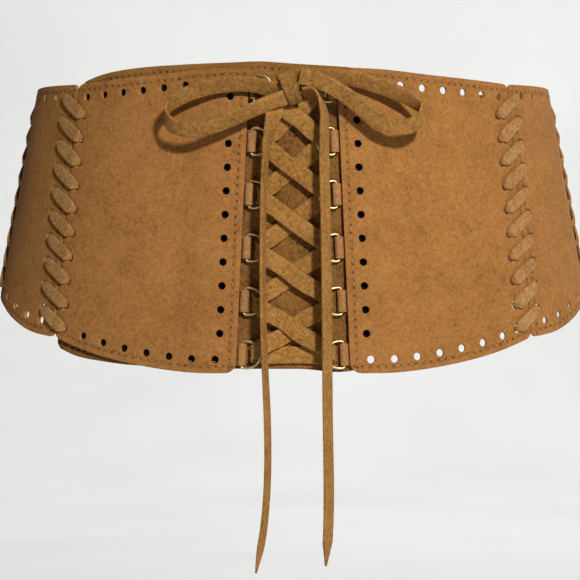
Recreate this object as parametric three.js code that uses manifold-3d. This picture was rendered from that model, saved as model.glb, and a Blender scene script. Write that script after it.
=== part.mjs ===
// Corset belt of soft suede, as it is worn: five panels whipped together round the waist, an under
// panel behind the front opening, six pairs of D-rings held in folded tabs, a flat lace crossed
// through the rings and tied in a bow, and the two ends of that lace hanging free.
// Millimetres. +X is to the right seen from the front, the front faces -Y, +Z is up. The origin is
// on the axis of the waist, at half the height of the front.
import * as THREE from 'three';
import { mergeGeometries, mergeVertices } from 'three/addons/utils/BufferGeometryUtils.js';
import Module from 'manifold-3d';

const manifold = await Module();
manifold.setup();

// Hollow for the waist: an oval that widens from the top edge to the bottom edge
const waistHalfWidth = 118.6;
const waistHalfDepth = 84;
const hipHalfWidth = 144;
const hipHalfDepth = 94;
const flareSwell = 0.04;

// Edges of the belt, as heights from the origin
const frontTop = 70.4;
const frontBottom = -69.3;
const sideTop = 63.8;
const sideBottom = -54.5;
const backTop = 62.5;
const backBottom = -37;

// Widths round the waist, each at the level of the front's top edge and of its bottom edge
const openingTop = 40;
const openingBottom = 52.6;
const frontWidthTop = 90.6;
const frontWidthBottom = 94.5;
const sideWidthTop = 65;
const sideWidthBottom = 67;
const seamGap = 0.8;
const frontCorner = 5;
const seamCorner = 3;

// Suede and the gaps between its layers
const panelThickness = 1.8;
const underThickness = 1.6;
const layerGap = 0.35;
const placketLift = 1.9;
const placketWidth = 13;
const placketFade = 20;

// Under panel
const underTop = 73.2;
const underTopDrop = 8.5;
const underBottom = -67.4;
const underBottomRise = 8.4;
const underRightReach = 5.2;
const underCorner = 7;

// Round holes along the edges
const punchRadius = 1.75;
const punchSides = 6;
const punchPitch = 10.9;
const punchFromFront = 8.2;
const punchFromTop = 6.6;
const punchFromBottom = 6.2;
const columnFromTop = 13.4;
const columnFromBottom = 18;
const topRowFromFront = 20;
const topRowFromSeam = 6.5;
const bottomRowFromFront = 9.5;
const bottomRowFromSeam = 16.5;

// Lace whipped through the seams
const whipWidth = 4.6;
const whipThickness = 1.3;
const whipNeck = 2.6;
const whipHoleRadius = 2.2;
const whipHoleSides = 4;
const cutTolerance = 0.03;
const whipFromSeam = 5.5;
const whipDrop = 9.5;
const whipClearance = 0.4;
const whipShoulder = 1.7;
const frontWhipTop = 58.5;
const frontWhipBottom = -50.4;
const frontWhipStitches = 10;
const backWhipTop = 56.5;
const backWhipBottom = -31.5;
const backWhipStitches = 9;

// D-rings and the folded tabs that hold them
const wireDiameter = 1.2;
const wireSides = 5;
const ringHalfHeight = 6.15;
const ringCorner = 1;
const ringShoulder = 2.2;
const ringDepth = 8.4;
const ringTilt = 4;
const ringClearance = 0.3;
const tabWall = 1.1;
const tabReach = 2.4;
const tabTail = 7;
const tabTailThickness = 1.2;
const tabHeight = 10.2;
const tabArcSteps = 5;
const ringPairs = 6;
const firstRingLevel = 60.5;
const ringPitch = 24.3;

// Flat lace of the front
const laceWidth = 8;
const laceThickness = 1.4;
const laceFold = 7;
const laceClearance = 0.35;
const laceSlant = 37;
const foldSetback = 1.75;
const foldShift = 1.6;
const foldLead = 4;
const crossingReach = 5;
const laceStart = 2;

// Knot of the bow
const knotWidth = 8.2;
const knotHeight = 15.9;
const knotLean = 4.6;
const knotDepth = 8;
const knotCentre = { x: -1.5, z: 60.6 };
const knotOut = 8.3;
const bowLift = 0.8;
const knotRounding = 1.6;

// Heights of the panels' edges, across each panel from its front end (0) to its back end (1), as
// shares of the change of height between its two ends
const FRONT_EDGES = [
  { across: 0, top: 0, bottom: 0 },
  { across: 0.25, top: 0.13, bottom: 0.02 },
  { across: 0.5, top: 0.46, bottom: 0.21 },
  { across: 0.75, top: 0.73, bottom: 0.53 },
  { across: 1, top: 1, bottom: 1 },
];
const SIDE_EDGES = [
  { across: 0, top: 0, bottom: 0 },
  { across: 0.25, top: 0.05, bottom: 0.14 },
  { across: 0.5, top: 0.2, bottom: 0.45 },
  { across: 0.75, top: 0.6, bottom: 0.8 },
  { across: 1, top: 1, bottom: 1 },
];
const BACK_EDGES = [
  { across: 0, top: 1, bottom: 1 },
  { across: 1, top: 1, bottom: 1 },
];
// The under panel's edges from its left end to its right end, as shares of its drop and its rise
const UNDER_EDGES = [
  { across: 0, top: 1, bottom: 1 },
  { across: 0.08, top: 0.64, bottom: 0.54 },
  { across: 0.16, top: 0.42, bottom: 0.33 },
  { across: 0.27, top: 0.25, bottom: 0.14 },
  { across: 0.43, top: 0.13, bottom: 0.04 },
  { across: 0.6, top: 0.05, bottom: 0 },
  { across: 0.7, top: 0, bottom: 0 },
  { across: 0.81, top: 0.12, bottom: 0 },
  { across: 1, top: 0.3, bottom: 0 },
];
// Turns of the front lace round the rings in order: the side (-1 is left), the ring from the top,
// whether it comes to the ring underneath, and whether it comes from above and goes on downwards
// (1), the other way (-1) or level (0)
const LACE_TURNS = [
  { side: -1, ring: 0, under: true, from: 0, to: -1 },
  { side: 1, ring: 1, under: false, from: 1, to: -1 },
  { side: -1, ring: 2, under: true, from: 1, to: -1 },
  { side: 1, ring: 3, under: false, from: 1, to: -1 },
  { side: -1, ring: 4, under: true, from: 1, to: -1 },
  { side: 1, ring: 5, under: false, from: 1, to: 0 },
  { side: -1, ring: 5, under: true, from: 0, to: 1 },
  { side: 1, ring: 4, under: true, from: -1, to: 1 },
  { side: -1, ring: 3, under: false, from: -1, to: 1 },
  { side: 1, ring: 2, under: true, from: -1, to: 1 },
  { side: -1, ring: 1, under: false, from: -1, to: 1 },
  { side: 1, ring: 0, under: true, from: -1, to: 0 },
];
// Routes of the bow and of the hanging ends: x and z, the distance out from the waist's surface,
// and the direction across the flat lace
const LEFT_LOOP = [
  { x: -7.2, z: 61.4, out: 10.2, wide: [0, -0.5, 0.87] },
  { x: -15, z: 62.6, out: 10.4, wide: [0, -0.5, 0.87] },
  { x: -24, z: 62.8, out: 10.6, wide: [0, -0.5, 0.87] },
  { x: -33, z: 61.9, out: 11.4, wide: [0, -0.5, 0.87] },
  { x: -42, z: 60, out: 12.6, wide: [0, -0.5, 0.87] },
  { x: -50, z: 57, out: 14, wide: [0.05, -0.52, 0.85] },
  { x: -55.6, z: 53.2, out: 15.6, wide: [0.1, -0.56, 0.82] },
  { x: -58, z: 48.6, out: 17.2, wide: [0.15, -0.62, 0.77] },
  { x: -56.2, z: 44.4, out: 18.2, wide: [0.12, -0.58, 0.8] },
  { x: -51, z: 41.8, out: 18.6, wide: [0.08, -0.52, 0.85] },
  { x: -44, z: 41.3, out: 18.4, wide: [0.04, -0.45, 0.89] },
  { x: -36, z: 43, out: 17.4, wide: [0, -0.4, 0.91] },
  { x: -27, z: 46.6, out: 16.2, wide: [-0.08, -0.35, 0.93] },
  { x: -18, z: 50.6, out: 15, wide: [-0.12, -0.33, 0.93] },
  { x: -11, z: 53.6, out: 13.6, wide: [-0.12, -0.33, 0.93] },
  { x: -6.2, z: 55.4, out: 12.8, wide: [-0.12, -0.33, 0.93] },
];
const RIGHT_LOOP = [
  { x: 2.6, z: 65.6, out: 9.8, wide: [0, -0.5, 0.87] },
  { x: 10, z: 65.8, out: 9.9, wide: [0, -0.5, 0.87] },
  { x: 19, z: 65.6, out: 10.2, wide: [0, -0.5, 0.87] },
  { x: 29, z: 64.6, out: 10.8, wide: [0, -0.5, 0.87] },
  { x: 38, z: 61.8, out: 12, wide: [0, -0.5, 0.87] },
  { x: 46.5, z: 58.9, out: 13.4, wide: [-0.05, -0.52, 0.85] },
  { x: 53.6, z: 55.4, out: 15, wide: [-0.1, -0.56, 0.82] },
  { x: 58.2, z: 51.2, out: 16.8, wide: [-0.15, -0.62, 0.77] },
  { x: 58.2, z: 46.8, out: 18, wide: [-0.12, -0.58, 0.8] },
  { x: 54, z: 43.6, out: 18.6, wide: [-0.06, -0.5, 0.87] },
  { x: 47, z: 42.8, out: 18.4, wide: [0.04, -0.45, 0.89] },
  { x: 40, z: 45, out: 17.6, wide: [0.12, -0.4, 0.91] },
  { x: 33.6, z: 49.6, out: 16.8, wide: [0.16, -0.4, 0.9] },
  { x: 27, z: 55, out: 16, wide: [0.16, -0.4, 0.9] },
  { x: 19, z: 60.2, out: 15.2, wide: [0.14, -0.4, 0.9] },
  { x: 11, z: 64.2, out: 14.4, wide: [0.1, -0.35, 0.93] },
  { x: 3, z: 66, out: 13.4, wide: [0.05, -0.25, 0.97] },
];
const LEFT_END = [
  { x: -8.9, z: 56.2, out: 8.5, wide: [0.94, 0, -0.34] },
  { x: -9.2, z: 51, out: 9, wide: [0.94, -0.2, -0.28] },
  { x: -10, z: 44.6, out: 10.4, wide: [0.72, -0.67, -0.2] },
  { x: -11.4, z: 38, out: 11.4, wide: [0.45, -0.88, -0.1] },
  { x: -12.6, z: 28, out: 11.6, wide: [0.28, -0.96, 0] },
  { x: -13.4, z: 10, out: 11.6, wide: [0.24, -0.97, 0] },
  { x: -13.7, z: -10, out: 11.6, wide: [0.22, -0.98, 0] },
  { x: -13.7, z: -32, out: 11.6, wide: [0.22, -0.98, 0] },
  { x: -13.2, z: -54, out: 11.5, wide: [0.24, -0.97, 0] },
  { x: -12.4, z: -72, out: 11.3, wide: [0.26, -0.97, 0] },
  { x: -11.7, z: -88, out: 11.1, wide: [0.28, -0.96, 0] },
  { x: -11.4, z: -104, out: 11, wide: [0.28, -0.96, 0] },
  { x: -11.8, z: -122, out: 11.2, wide: [0.28, -0.96, 0] },
  { x: -13.4, z: -140, out: 11.6, wide: [0.3, -0.95, -0.05] },
  { x: -16.8, z: -159, out: 12.2, wide: [0.32, -0.94, -0.1] },
];
const RIGHT_END = [
  { x: 4.6, z: 59.6, out: 9.3, wide: [0, -0.3, 0.95] },
  { x: 8.9, z: 59, out: 9.6, wide: [0.3, -0.42, 0.86] },
  { x: 12.2, z: 54.8, out: 9.4, wide: [0.8, -0.4, 0.45] },
  { x: 14, z: 49.6, out: 10.8, wide: [0.65, -0.72, 0.2] },
  { x: 14.2, z: 42, out: 11.6, wide: [0.52, -0.85, 0.05] },
  { x: 13.8, z: 28, out: 11.8, wide: [0.46, -0.89, 0] },
  { x: 14.2, z: 8, out: 11.8, wide: [0.44, -0.9, 0] },
  { x: 14.6, z: -14, out: 11.8, wide: [0.42, -0.91, 0] },
  { x: 14.9, z: -38, out: 11.8, wide: [0.42, -0.91, 0] },
  { x: 15.2, z: -60, out: 11.7, wide: [0.42, -0.91, 0] },
  { x: 15.4, z: -80, out: 11.5, wide: [0.42, -0.91, 0] },
  { x: 15.7, z: -100, out: 11.3, wide: [0.44, -0.9, 0] },
  { x: 16, z: -122, out: 11.2, wide: [0.46, -0.89, 0] },
  { x: 15.8, z: -140, out: 11.2, wide: [0.44, -0.9, 0] },
  { x: 14.9, z: -156, out: 11.4, wide: [0.42, -0.91, 0] },
];

// Colours and finish
const SUEDE = { color: 0xa8703a, roughness: 0.95, metalness: 0 };
const SUEDE_SHADE = { color: 0x8d5c30, roughness: 0.95, metalness: 0 };
const LACE = { color: 0xb98a4a, roughness: 0.95, metalness: 0 };
const BRASS = { color: 0xb9a274, roughness: 0.35, metalness: 1 };

// Sizes that follow from those above
const girthOut = underThickness + layerGap + panelThickness;
const panelInner = underThickness + layerGap;
const openingHalf = (z) => between(z, openingTop, openingBottom) / 2;
const frontSeam = (z) => openingHalf(z) + between(z, frontWidthTop, frontWidthBottom);
const backSeam = (z) => frontSeam(z) + between(z, sideWidthTop, sideWidthBottom);
const eyeRadius = wireDiameter / 2 + ringClearance + tabWall;
const eyeOut = panelInner + eyeRadius;
const layerRise = wireDiameter / 2 + ringClearance + laceThickness / 2;
const underLaceOut = panelInner + laceThickness / 2;
const overLaceOut = underLaceOut + 2 * (laceThickness + laceClearance);
const slantedWidth = laceWidth / Math.cos((laceSlant * Math.PI) / 180);
const ringLevel = (ring) => firstRingLevel - ringPitch * ring;

// A value that changes evenly from the front's top edge to its bottom edge
function between(z, atTop, atBottom) {
  return atTop + ((frontTop - z) / (frontTop - frontBottom)) * (atBottom - atTop);
}

// A smooth curve through one column of a table
function fromTable(rows, key, column, at) {
  const last = rows.length - 1;
  const slope = (i) => {
    const low = rows[Math.max(i - 1, 0)];
    const high = rows[Math.min(i + 1, last)];
    return (high[column] - low[column]) / (high[key] - low[key]);
  };
  let i = 0;
  while (i < last - 1 && at > rows[i + 1][key]) i += 1;
  const step = rows[i + 1][key] - rows[i][key];
  const t = (at - rows[i][key]) / step;
  const rise = rows[i + 1][column] - rows[i][column];
  const start = slope(i) * step;
  const end = slope(i + 1) * step;
  return rows[i][column] + t * (start + t * (3 * rise - 2 * start - end + t * (start + end - 2 * rise)));
}

// Half width and half depth of the hollow at one height
function waistAt(z) {
  const down = (frontTop - z) / (frontTop - frontBottom);
  const kept = Math.min(Math.max(down, 0), 1);
  const flare = kept + flareSwell * kept * (1 - kept);
  return {
    halfWidth: waistHalfWidth + (hipHalfWidth - waistHalfWidth) * flare,
    halfDepth: waistHalfDepth + (hipHalfDepth - waistHalfDepth) * flare,
  };
}

// Lengths round the belt's outer face from the front, at each degree, kept for each height
const DEGREE = Math.PI / 180;
const girthTables = new Map();
function girthTable(z) {
  if (!girthTables.has(z)) {
    const { halfWidth, halfDepth } = waistAt(z);
    const lengths = [0];
    for (let i = 0; i < 360; i += 1) {
      const middle = (i + 0.5) * DEGREE;
      const across = (halfWidth + girthOut) * Math.cos(middle);
      const deep = (halfDepth + girthOut) * Math.sin(middle);
      lengths.push(lengths[i] + Math.hypot(across, deep) * DEGREE);
    }
    girthTables.set(z, lengths);
  }
  return girthTables.get(z);
}

const girthAt = (z) => girthTable(z)[360];

// Angle round the oval at a distance s round the belt from the front
function angleAt(s, z) {
  const lengths = girthTable(z);
  const length = Math.abs(s);
  let low = 0;
  let high = 360;
  while (high - low > 1) {
    const middle = (low + high) >> 1;
    if (lengths[middle] <= length) low = middle;
    else high = middle;
  }
  const part = (length - lengths[low]) / (lengths[high] - lengths[low]);
  return Math.sign(s) * (low + part) * DEGREE;
}

// Outward direction of the belt at a distance round it and a height
function normalAt(s, z) {
  const angle = angleAt(s, z);
  const { halfWidth, halfDepth } = waistAt(z);
  return new THREE.Vector3(Math.sin(angle) / halfWidth, -Math.cos(angle) / halfDepth, 0).normalize();
}

// Point at a distance round the belt, a height, and a distance out from the hollow's surface
function place(s, z, out) {
  const angle = angleAt(s, z);
  const { halfWidth, halfDepth } = waistAt(z);
  const point = new THREE.Vector3(halfWidth * Math.sin(angle), -halfDepth * Math.cos(angle), z);
  return point.addScaledVector(normalAt(s, z), out);
}

// Direction up the belt's surface, which leans outwards towards the bottom edge
function upAt(s, z) {
  return place(s, z + 1, 0).sub(place(s, z - 1, 0)).normalize();
}

// Direction straight out of the belt's leaning surface
function faceAt(s, z) {
  const round = place(s + 1, z, 0).sub(place(s - 1, z, 0));
  return round.cross(upAt(s, z)).normalize();
}

// Point that lies straight out of the leaning surface, over a place in the middle of the wall
function throughPoint(s, z, out) {
  return place(s, z, girthOut / 2).addScaledVector(faceAt(s, z), out - girthOut / 2);
}

// Closed surface from points and triangles, turned so that its faces point out
function closedGeometry(points, faces) {
  let volume = 0;
  for (const [a, b, c] of faces) {
    volume += points[a].dot(new THREE.Vector3().crossVectors(points[b], points[c]));
  }
  const turned = volume < 0 ? faces.map(([a, b, c]) => [a, c, b]) : faces;
  const geometry = new THREE.BufferGeometry();
  const positions = points.flatMap((point) => point.toArray());
  geometry.setAttribute('position', new THREE.Float32BufferAttribute(positions, 3));
  geometry.setIndex(turned.flat());
  return geometry;
}

// Solid through a row of closed sections that have the same number of points
function loft(sections, closed = false) {
  const count = sections[0].length;
  const faces = [];
  const spans = closed ? sections.length : sections.length - 1;
  for (let i = 0; i < spans; i += 1) {
    const here = i * count;
    const next = ((i + 1) % sections.length) * count;
    for (let k = 0; k < count; k += 1) {
      const beside = (k + 1) % count;
      faces.push([here + k, here + beside, next + beside], [here + k, next + beside, next + k]);
    }
  }
  if (!closed) {
    const last = (sections.length - 1) * count;
    for (let k = 0; k < count / 2 - 1; k += 1) {
      const [a, b, c, d] = [k, k + 1, count - 2 - k, count - 1 - k];
      faces.push([c, b, a], [d, c, a]);
      faces.push([last + a, last + b, last + c], [last + a, last + c, last + d]);
    }
  }
  return closedGeometry(sections.flat(), faces);
}

// Section of a flat lace: its centre, the direction across it, the direction through its thickness
function laceSection(centre, across, through, width, thickness) {
  const side = across.clone().multiplyScalar(width / 2);
  const face = through.clone().multiplyScalar(thickness / 2);
  return [
    centre.clone().sub(side).sub(face),
    centre.clone().add(side).sub(face),
    centre.clone().add(side).add(face),
    centre.clone().sub(side).add(face),
  ];
}

// Plain closed geometry with shared corners, ready to be cut
function shared(geometry) {
  const plain = geometry.clone();
  plain.deleteAttribute('normal');
  plain.deleteAttribute('uv');
  return mergeVertices(plain);
}

function toSolid(geometry) {
  const plain = shared(geometry);
  return new manifold.Manifold(new manifold.Mesh({
    numProp: 3,
    vertProperties: new Float32Array(plain.attributes.position.array),
    triVerts: new Uint32Array(plain.index.array),
  }));
}

// A geometry less its cutters, which don't touch each other
function cut(geometry, cutters) {
  const drills = toSolid(mergeGeometries(cutters.map(shared)));
  const mesh = toSolid(geometry).subtract(drills).simplify(cutTolerance).getMesh();
  const result = new THREE.BufferGeometry();
  result.setAttribute('position', new THREE.Float32BufferAttribute(mesh.vertProperties, 3));
  result.setIndex(new THREE.Uint32BufferAttribute(mesh.triVerts, 1));
  return result;
}

// Round cutter that stands across the wall at a distance round the belt and a height
function drill(s, z, radius, sides) {
  const length = 4 * girthOut;
  const geometry = new THREE.CylinderGeometry(radius, radius, length, sides);
  const turn = new THREE.Quaternion().setFromUnitVectors(new THREE.Vector3(0, 1, 0), faceAt(s, z));
  geometry.applyQuaternion(turn);
  const centre = throughPoint(s, z, girthOut / 2);
  geometry.translate(centre.x, centre.y, centre.z);
  return geometry;
}

// How far the front edge's placket lifts a front panel, at a distance in from that edge
function liftAt(fromFront) {
  const t = Math.min(Math.max((fromFront - placketWidth) / placketFade, 0), 1);
  return placketLift * (1 - t * t * (3 - 2 * t));
}

// Sheet of suede round the belt: its two ends as distances round it, its edges as heights, and the
// distance out of its inner face
const frontHeights = {
  top: (t) => frontTop + (sideTop - frontTop) * fromTable(FRONT_EDGES, 'across', 'top', t),
  bottom: (t) => frontBottom + (sideBottom - frontBottom) * fromTable(FRONT_EDGES, 'across', 'bottom', t),
};
const sideHeights = {
  top: (t) => sideTop + (backTop - sideTop) * fromTable(SIDE_EDGES, 'across', 'top', t),
  bottom: (t) => sideBottom + (backBottom - sideBottom) * fromTable(SIDE_EDGES, 'across', 'bottom', t),
};
const backHeights = {
  top: (t) => backTop * fromTable(BACK_EDGES, 'across', 'top', t),
  bottom: (t) => backBottom * fromTable(BACK_EDGES, 'across', 'bottom', t),
};
const underHeights = {
  top: (t) => underTop - underTopDrop * fromTable(UNDER_EDGES, 'across', 'top', t),
  bottom: (t) => underBottom + underBottomRise * fromTable(UNDER_EDGES, 'across', 'bottom', t),
};

function frontPanel(side) {
  return {
    start: (z) => side * openingHalf(z),
    end: (z) => side * (frontSeam(z) - seamGap / 2),
    heights: frontHeights,
    inner: (s, z) => panelInner + liftAt(Math.abs(s) - openingHalf(z)),
    thickness: panelThickness,
    corners: [frontCorner, seamCorner],
    columnWidth: 14,
  };
}

function sidePanel(side) {
  return {
    start: (z) => side * (frontSeam(z) + seamGap / 2),
    end: (z) => side * (backSeam(z) - seamGap / 2),
    heights: sideHeights,
    inner: () => panelInner,
    thickness: panelThickness,
    corners: [seamCorner, seamCorner],
    columnWidth: 11,
  };
}

const backPanel = {
  start: (z) => backSeam(z) + seamGap / 2,
  end: (z) => girthAt(z) - backSeam(z) - seamGap / 2,
  heights: backHeights,
  inner: () => panelInner,
  thickness: panelThickness,
  corners: [seamCorner, seamCorner],
  columnWidth: 15,
};

const underPanel = {
  start: (z) => -(frontSeam(z) - seamGap / 2),
  end: (z) => openingHalf(z) + underRightReach,
  heights: underHeights,
  inner: () => 0,
  thickness: underThickness,
  corners: [seamCorner, underCorner],
  columnWidth: 12,
};

// Where a share across a sheet and a share up it lie: the distance round and the height
function sheetPoint(sheet, across, up) {
  const width = Math.abs(sheet.end(0) - sheet.start(0));
  const radius = sheet.corners[across < 0.5 ? 0 : 1];
  const inside = Math.max(radius - Math.min(across, 1 - across) * width, 0);
  const rounding = radius - Math.sqrt(radius ** 2 - inside ** 2);
  const low = sheet.heights.bottom(across) + rounding;
  const high = sheet.heights.top(across) - rounding;
  const z = low + (high - low) * up;
  return { s: sheet.start(z) + (sheet.end(z) - sheet.start(z)) * across, z };
}

// Shares across a sheet at which its wall has a section: close at the corners, even between them
function sheetColumns(sheet) {
  const width = Math.abs(sheet.end(0) - sheet.start(0));
  const [first, last] = sheet.corners.map((radius) => cornerSteps.map((part) => (part * radius) / width));
  const middle = 1 - first.at(-1) - last.at(-1);
  const count = Math.round((middle * width) / sheet.columnWidth);
  const even = [];
  for (let i = 1; i < count; i += 1) even.push(first.at(-1) + (middle * i) / count);
  return [...first, ...even, ...last.map((share) => 1 - share).reverse()];
}

const wallRows = [0, 0.5, 1];
const cornerSteps = [0, 0.293, 1];

function wall(sheet) {
  const sections = sheetColumns(sheet).map((across) => {
    const spots = wallRows.map((up) => sheetPoint(sheet, across, up));
    const inner = spots.map(({ s, z }) => place(s, z, sheet.inner(s, z)));
    const outer = spots.map(({ s, z }) => place(s, z, sheet.inner(s, z) + sheet.thickness));
    return [...inner, ...outer.reverse()];
  });
  return loft(sections);
}

// Share across a sheet of a distance from one of its ends
function shareFrom(sheet, fromStart) {
  return fromStart / Math.abs(sheet.end(0) - sheet.start(0));
}

// A row of round holes along a sheet's top or bottom edge, from one inset to the other
function edgeRow(sheet, edge, inset, fromStart, fromEnd, pitch) {
  const width = Math.abs(sheet.end(0) - sheet.start(0));
  const length = width - fromStart - fromEnd;
  const gaps = Math.max(Math.round(length / pitch), 1);
  const drills = [];
  for (let i = 0; i <= gaps; i += 1) {
    const across = shareFrom(sheet, fromStart + (length * i) / gaps);
    const z = edge === 'top' ? sheet.heights.top(across) - inset : sheet.heights.bottom(across) + inset;
    const s = sheet.start(z) + (sheet.end(z) - sheet.start(z)) * across;
    drills.push(drill(s, z, punchRadius, punchSides));
  }
  return drills;
}

// The column of round holes down a front panel's front edge
function frontColumn(side) {
  const high = frontTop - columnFromTop;
  const low = frontBottom + columnFromBottom;
  const gaps = Math.round((high - low) / punchPitch);
  const drills = [];
  for (let i = 0; i <= gaps; i += 1) {
    const z = high - ((high - low) * i) / gaps;
    drills.push(drill(side * (openingHalf(z) + punchFromFront), z, punchRadius, punchSides));
  }
  return drills;
}

// Places of a whipped seam's holes: the upper one on the panel behind it, the lower one before it
function whipHoles(seam) {
  const lowest = seam.bottom + whipDrop;
  const pitch = (seam.top - lowest) / (seam.stitches - 1);
  const holes = [];
  for (let i = 0; i < seam.stitches; i += 1) {
    const high = seam.top - pitch * i;
    const low = high - whipDrop;
    holes.push({
      behind: { s: seam.side * (seam.at(high) + whipFromSeam), z: high },
      before: { s: seam.side * (seam.at(low) - whipFromSeam), z: low },
    });
  }
  return holes;
}

function whipDrills(seam, which) {
  return whipHoles(seam).map((pair) => drill(pair[which].s, pair[which].z, whipHoleRadius, whipHoleSides));
}

// Lace that whips a seam: slanting strips outside, level ones inside, and a neck in each hole
function whipLace(seam) {
  const outside = girthOut + whipClearance + whipThickness / 2;
  const inside = (seam.underPanel ? 0 : panelInner) - whipClearance - whipThickness / 2;
  const holes = whipHoles(seam);
  const flatten = (direction, normal) => {
    return direction.clone().addScaledVector(normal, -direction.dot(normal)).normalize();
  };
  const sections = [];
  const add = (centre, across, through, width) => {
    sections.push(laceSection(centre, across, through, width, whipThickness));
  };
  holes.forEach(({ behind, before }, i) => {
    const next = holes[i + 1]?.behind;
    const normalA = faceAt(behind.s, behind.z);
    const normalB = faceAt(before.s, before.z);
    const outA = throughPoint(behind.s, behind.z, outside);
    const outB = throughPoint(before.s, before.z, outside);
    const along = outB.clone().sub(outA);
    const alongA = flatten(along, normalA);
    const alongB = flatten(along, normalB);
    const acrossA = new THREE.Vector3().crossVectors(alongA, normalA);
    const acrossB = new THREE.Vector3().crossVectors(alongB, normalB);
    if (i === 0) {
      const start = throughPoint(behind.s, behind.z, inside);
      add(start, acrossA, alongA.clone().negate(), whipNeck);
    }
    add(outA, acrossA, normalA.clone().sub(alongA).normalize(), whipNeck);
    add(outA.clone().addScaledVector(alongA, whipShoulder), acrossA, normalA, whipWidth);
    add(outB.clone().addScaledVector(alongB, -whipShoulder), acrossB, normalB, whipWidth);
    add(outB, acrossB, normalB.clone().add(alongB).normalize(), whipNeck);
    const inB = throughPoint(before.s, before.z, inside);
    if (!next) {
      add(inB, acrossB, alongB, whipNeck);
      return;
    }
    const normalC = faceAt(next.s, next.z);
    const inC = throughPoint(next.s, next.z, inside);
    const back = inC.clone().sub(inB);
    const backB = flatten(back, normalB);
    const backC = flatten(back, normalC);
    const acrossIn = new THREE.Vector3().crossVectors(normalB, backB);
    const acrossNext = new THREE.Vector3().crossVectors(normalC, backC);
    add(inB, acrossIn, normalB.clone().add(backB).negate().normalize(), whipNeck);
    add(inC, acrossNext, backC.clone().sub(normalC).normalize(), whipNeck);
  });
  return loft(sections);
}

// Frame at a front edge: x from the edge towards the middle of the opening, y out from the waist,
// z up along the edge
function edgeFrame(side, z) {
  const s = side * openingHalf(z);
  const above = place(side * openingHalf(z + 1), z + 1, 0);
  const up = above.sub(place(side * openingHalf(z - 1), z - 1, 0)).normalize();
  const out = faceAt(s, z);
  const inwards = new THREE.Vector3().crossVectors(out, up).multiplyScalar(side).normalize();
  const level = new THREE.Vector3().crossVectors(up, inwards).multiplyScalar(side).normalize();
  const origin = place(s, z, 0);
  return {
    at: (x, y, w) => {
      const point = origin.clone().addScaledVector(inwards, x);
      return point.addScaledVector(level, y).addScaledVector(up, w);
    },
    inwards,
    level,
    up,
  };
}

// Tab: a strip of suede folded round the ring's bar, with its tail under the panel's edge
function tab(side, z) {
  const frame = edgeFrame(side, z);
  const tailTop = panelInner + tabTailThickness;
  const lastAngle = Math.PI - Math.asin((tailTop - eyeOut) / eyeRadius);
  const outline = [[-tabTail, panelInner]];
  for (let i = 0; i <= tabArcSteps; i += 1) {
    const angle = -Math.PI / 2 + ((lastAngle + Math.PI / 2) * i) / tabArcSteps;
    outline.push([tabReach + eyeRadius * Math.cos(angle), eyeOut + eyeRadius * Math.sin(angle)]);
  }
  outline.push([-tabTail, tailTop]);
  const shape = new THREE.Shape(outline.map(([x, y]) => new THREE.Vector2(x, y)));
  const eye = new THREE.Path();
  eye.absarc(tabReach, eyeOut, eyeRadius - tabWall, 0, 2 * Math.PI, true);
  shape.holes.push(eye);
  const geometry = new THREE.ExtrudeGeometry(shape, { depth: tabHeight, bevelEnabled: false, curveSegments: 3 });
  geometry.translate(0, 0, -tabHeight / 2);
  const along = frame.up.clone().multiplyScalar(side);
  geometry.applyMatrix4(new THREE.Matrix4().makeBasis(frame.inwards, frame.level, along));
  const origin = frame.at(0, 0, 0);
  geometry.translate(origin.x, origin.y, origin.z);
  return geometry;
}

// Point of a ring's plane, which leans out from its bar: reach from the bar, height along it, rise
function ringPoint(frame, reach, height, rise) {
  const lean = ringTilt * DEGREE;
  const x = tabReach + reach * Math.cos(lean) - rise * Math.sin(lean);
  const y = eyeOut + reach * Math.sin(lean) + rise * Math.cos(lean);
  return frame.at(x, y, height);
}

// Reach of a ring's arc at a height from its middle
function arcReach(height) {
  return ringShoulder + (ringDepth - ringShoulder) * Math.sqrt(1 - (height / ringHalfHeight) ** 2);
}

// Route of a D-ring's wire: a straight bar, two tight corners and a deep arc
function ringRoute() {
  const bar = ringHalfHeight - ringCorner;
  const route = [[0, -bar], [0, bar]];
  for (const degrees of [90, 60, 30, 0, -30, -60, -90]) {
    const height = ringHalfHeight * Math.sin(degrees * DEGREE);
    route.push([arcReach(height), height]);
  }
  return route;
}

function dRing(side, z) {
  const frame = edgeFrame(side, z);
  const route = ringRoute();
  const sections = route.map(([reach, height], i) => {
    const before = route[(i + route.length - 1) % route.length];
    const after = route[(i + 1) % route.length];
    const run = Math.hypot(after[0] - before[0], after[1] - before[1]);
    const sideways = [(after[1] - before[1]) / run, -(after[0] - before[0]) / run];
    const section = [];
    for (let k = 0; k < wireSides; k += 1) {
      const angle = (2 * Math.PI * k) / wireSides;
      const across = (wireDiameter / 2) * Math.cos(angle);
      const rise = (wireDiameter / 2) * Math.sin(angle);
      section.push(ringPoint(frame, reach + sideways[0] * across, height + sideways[1] * across, rise));
    }
    return section;
  });
  return loft(sections, true);
}

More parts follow.
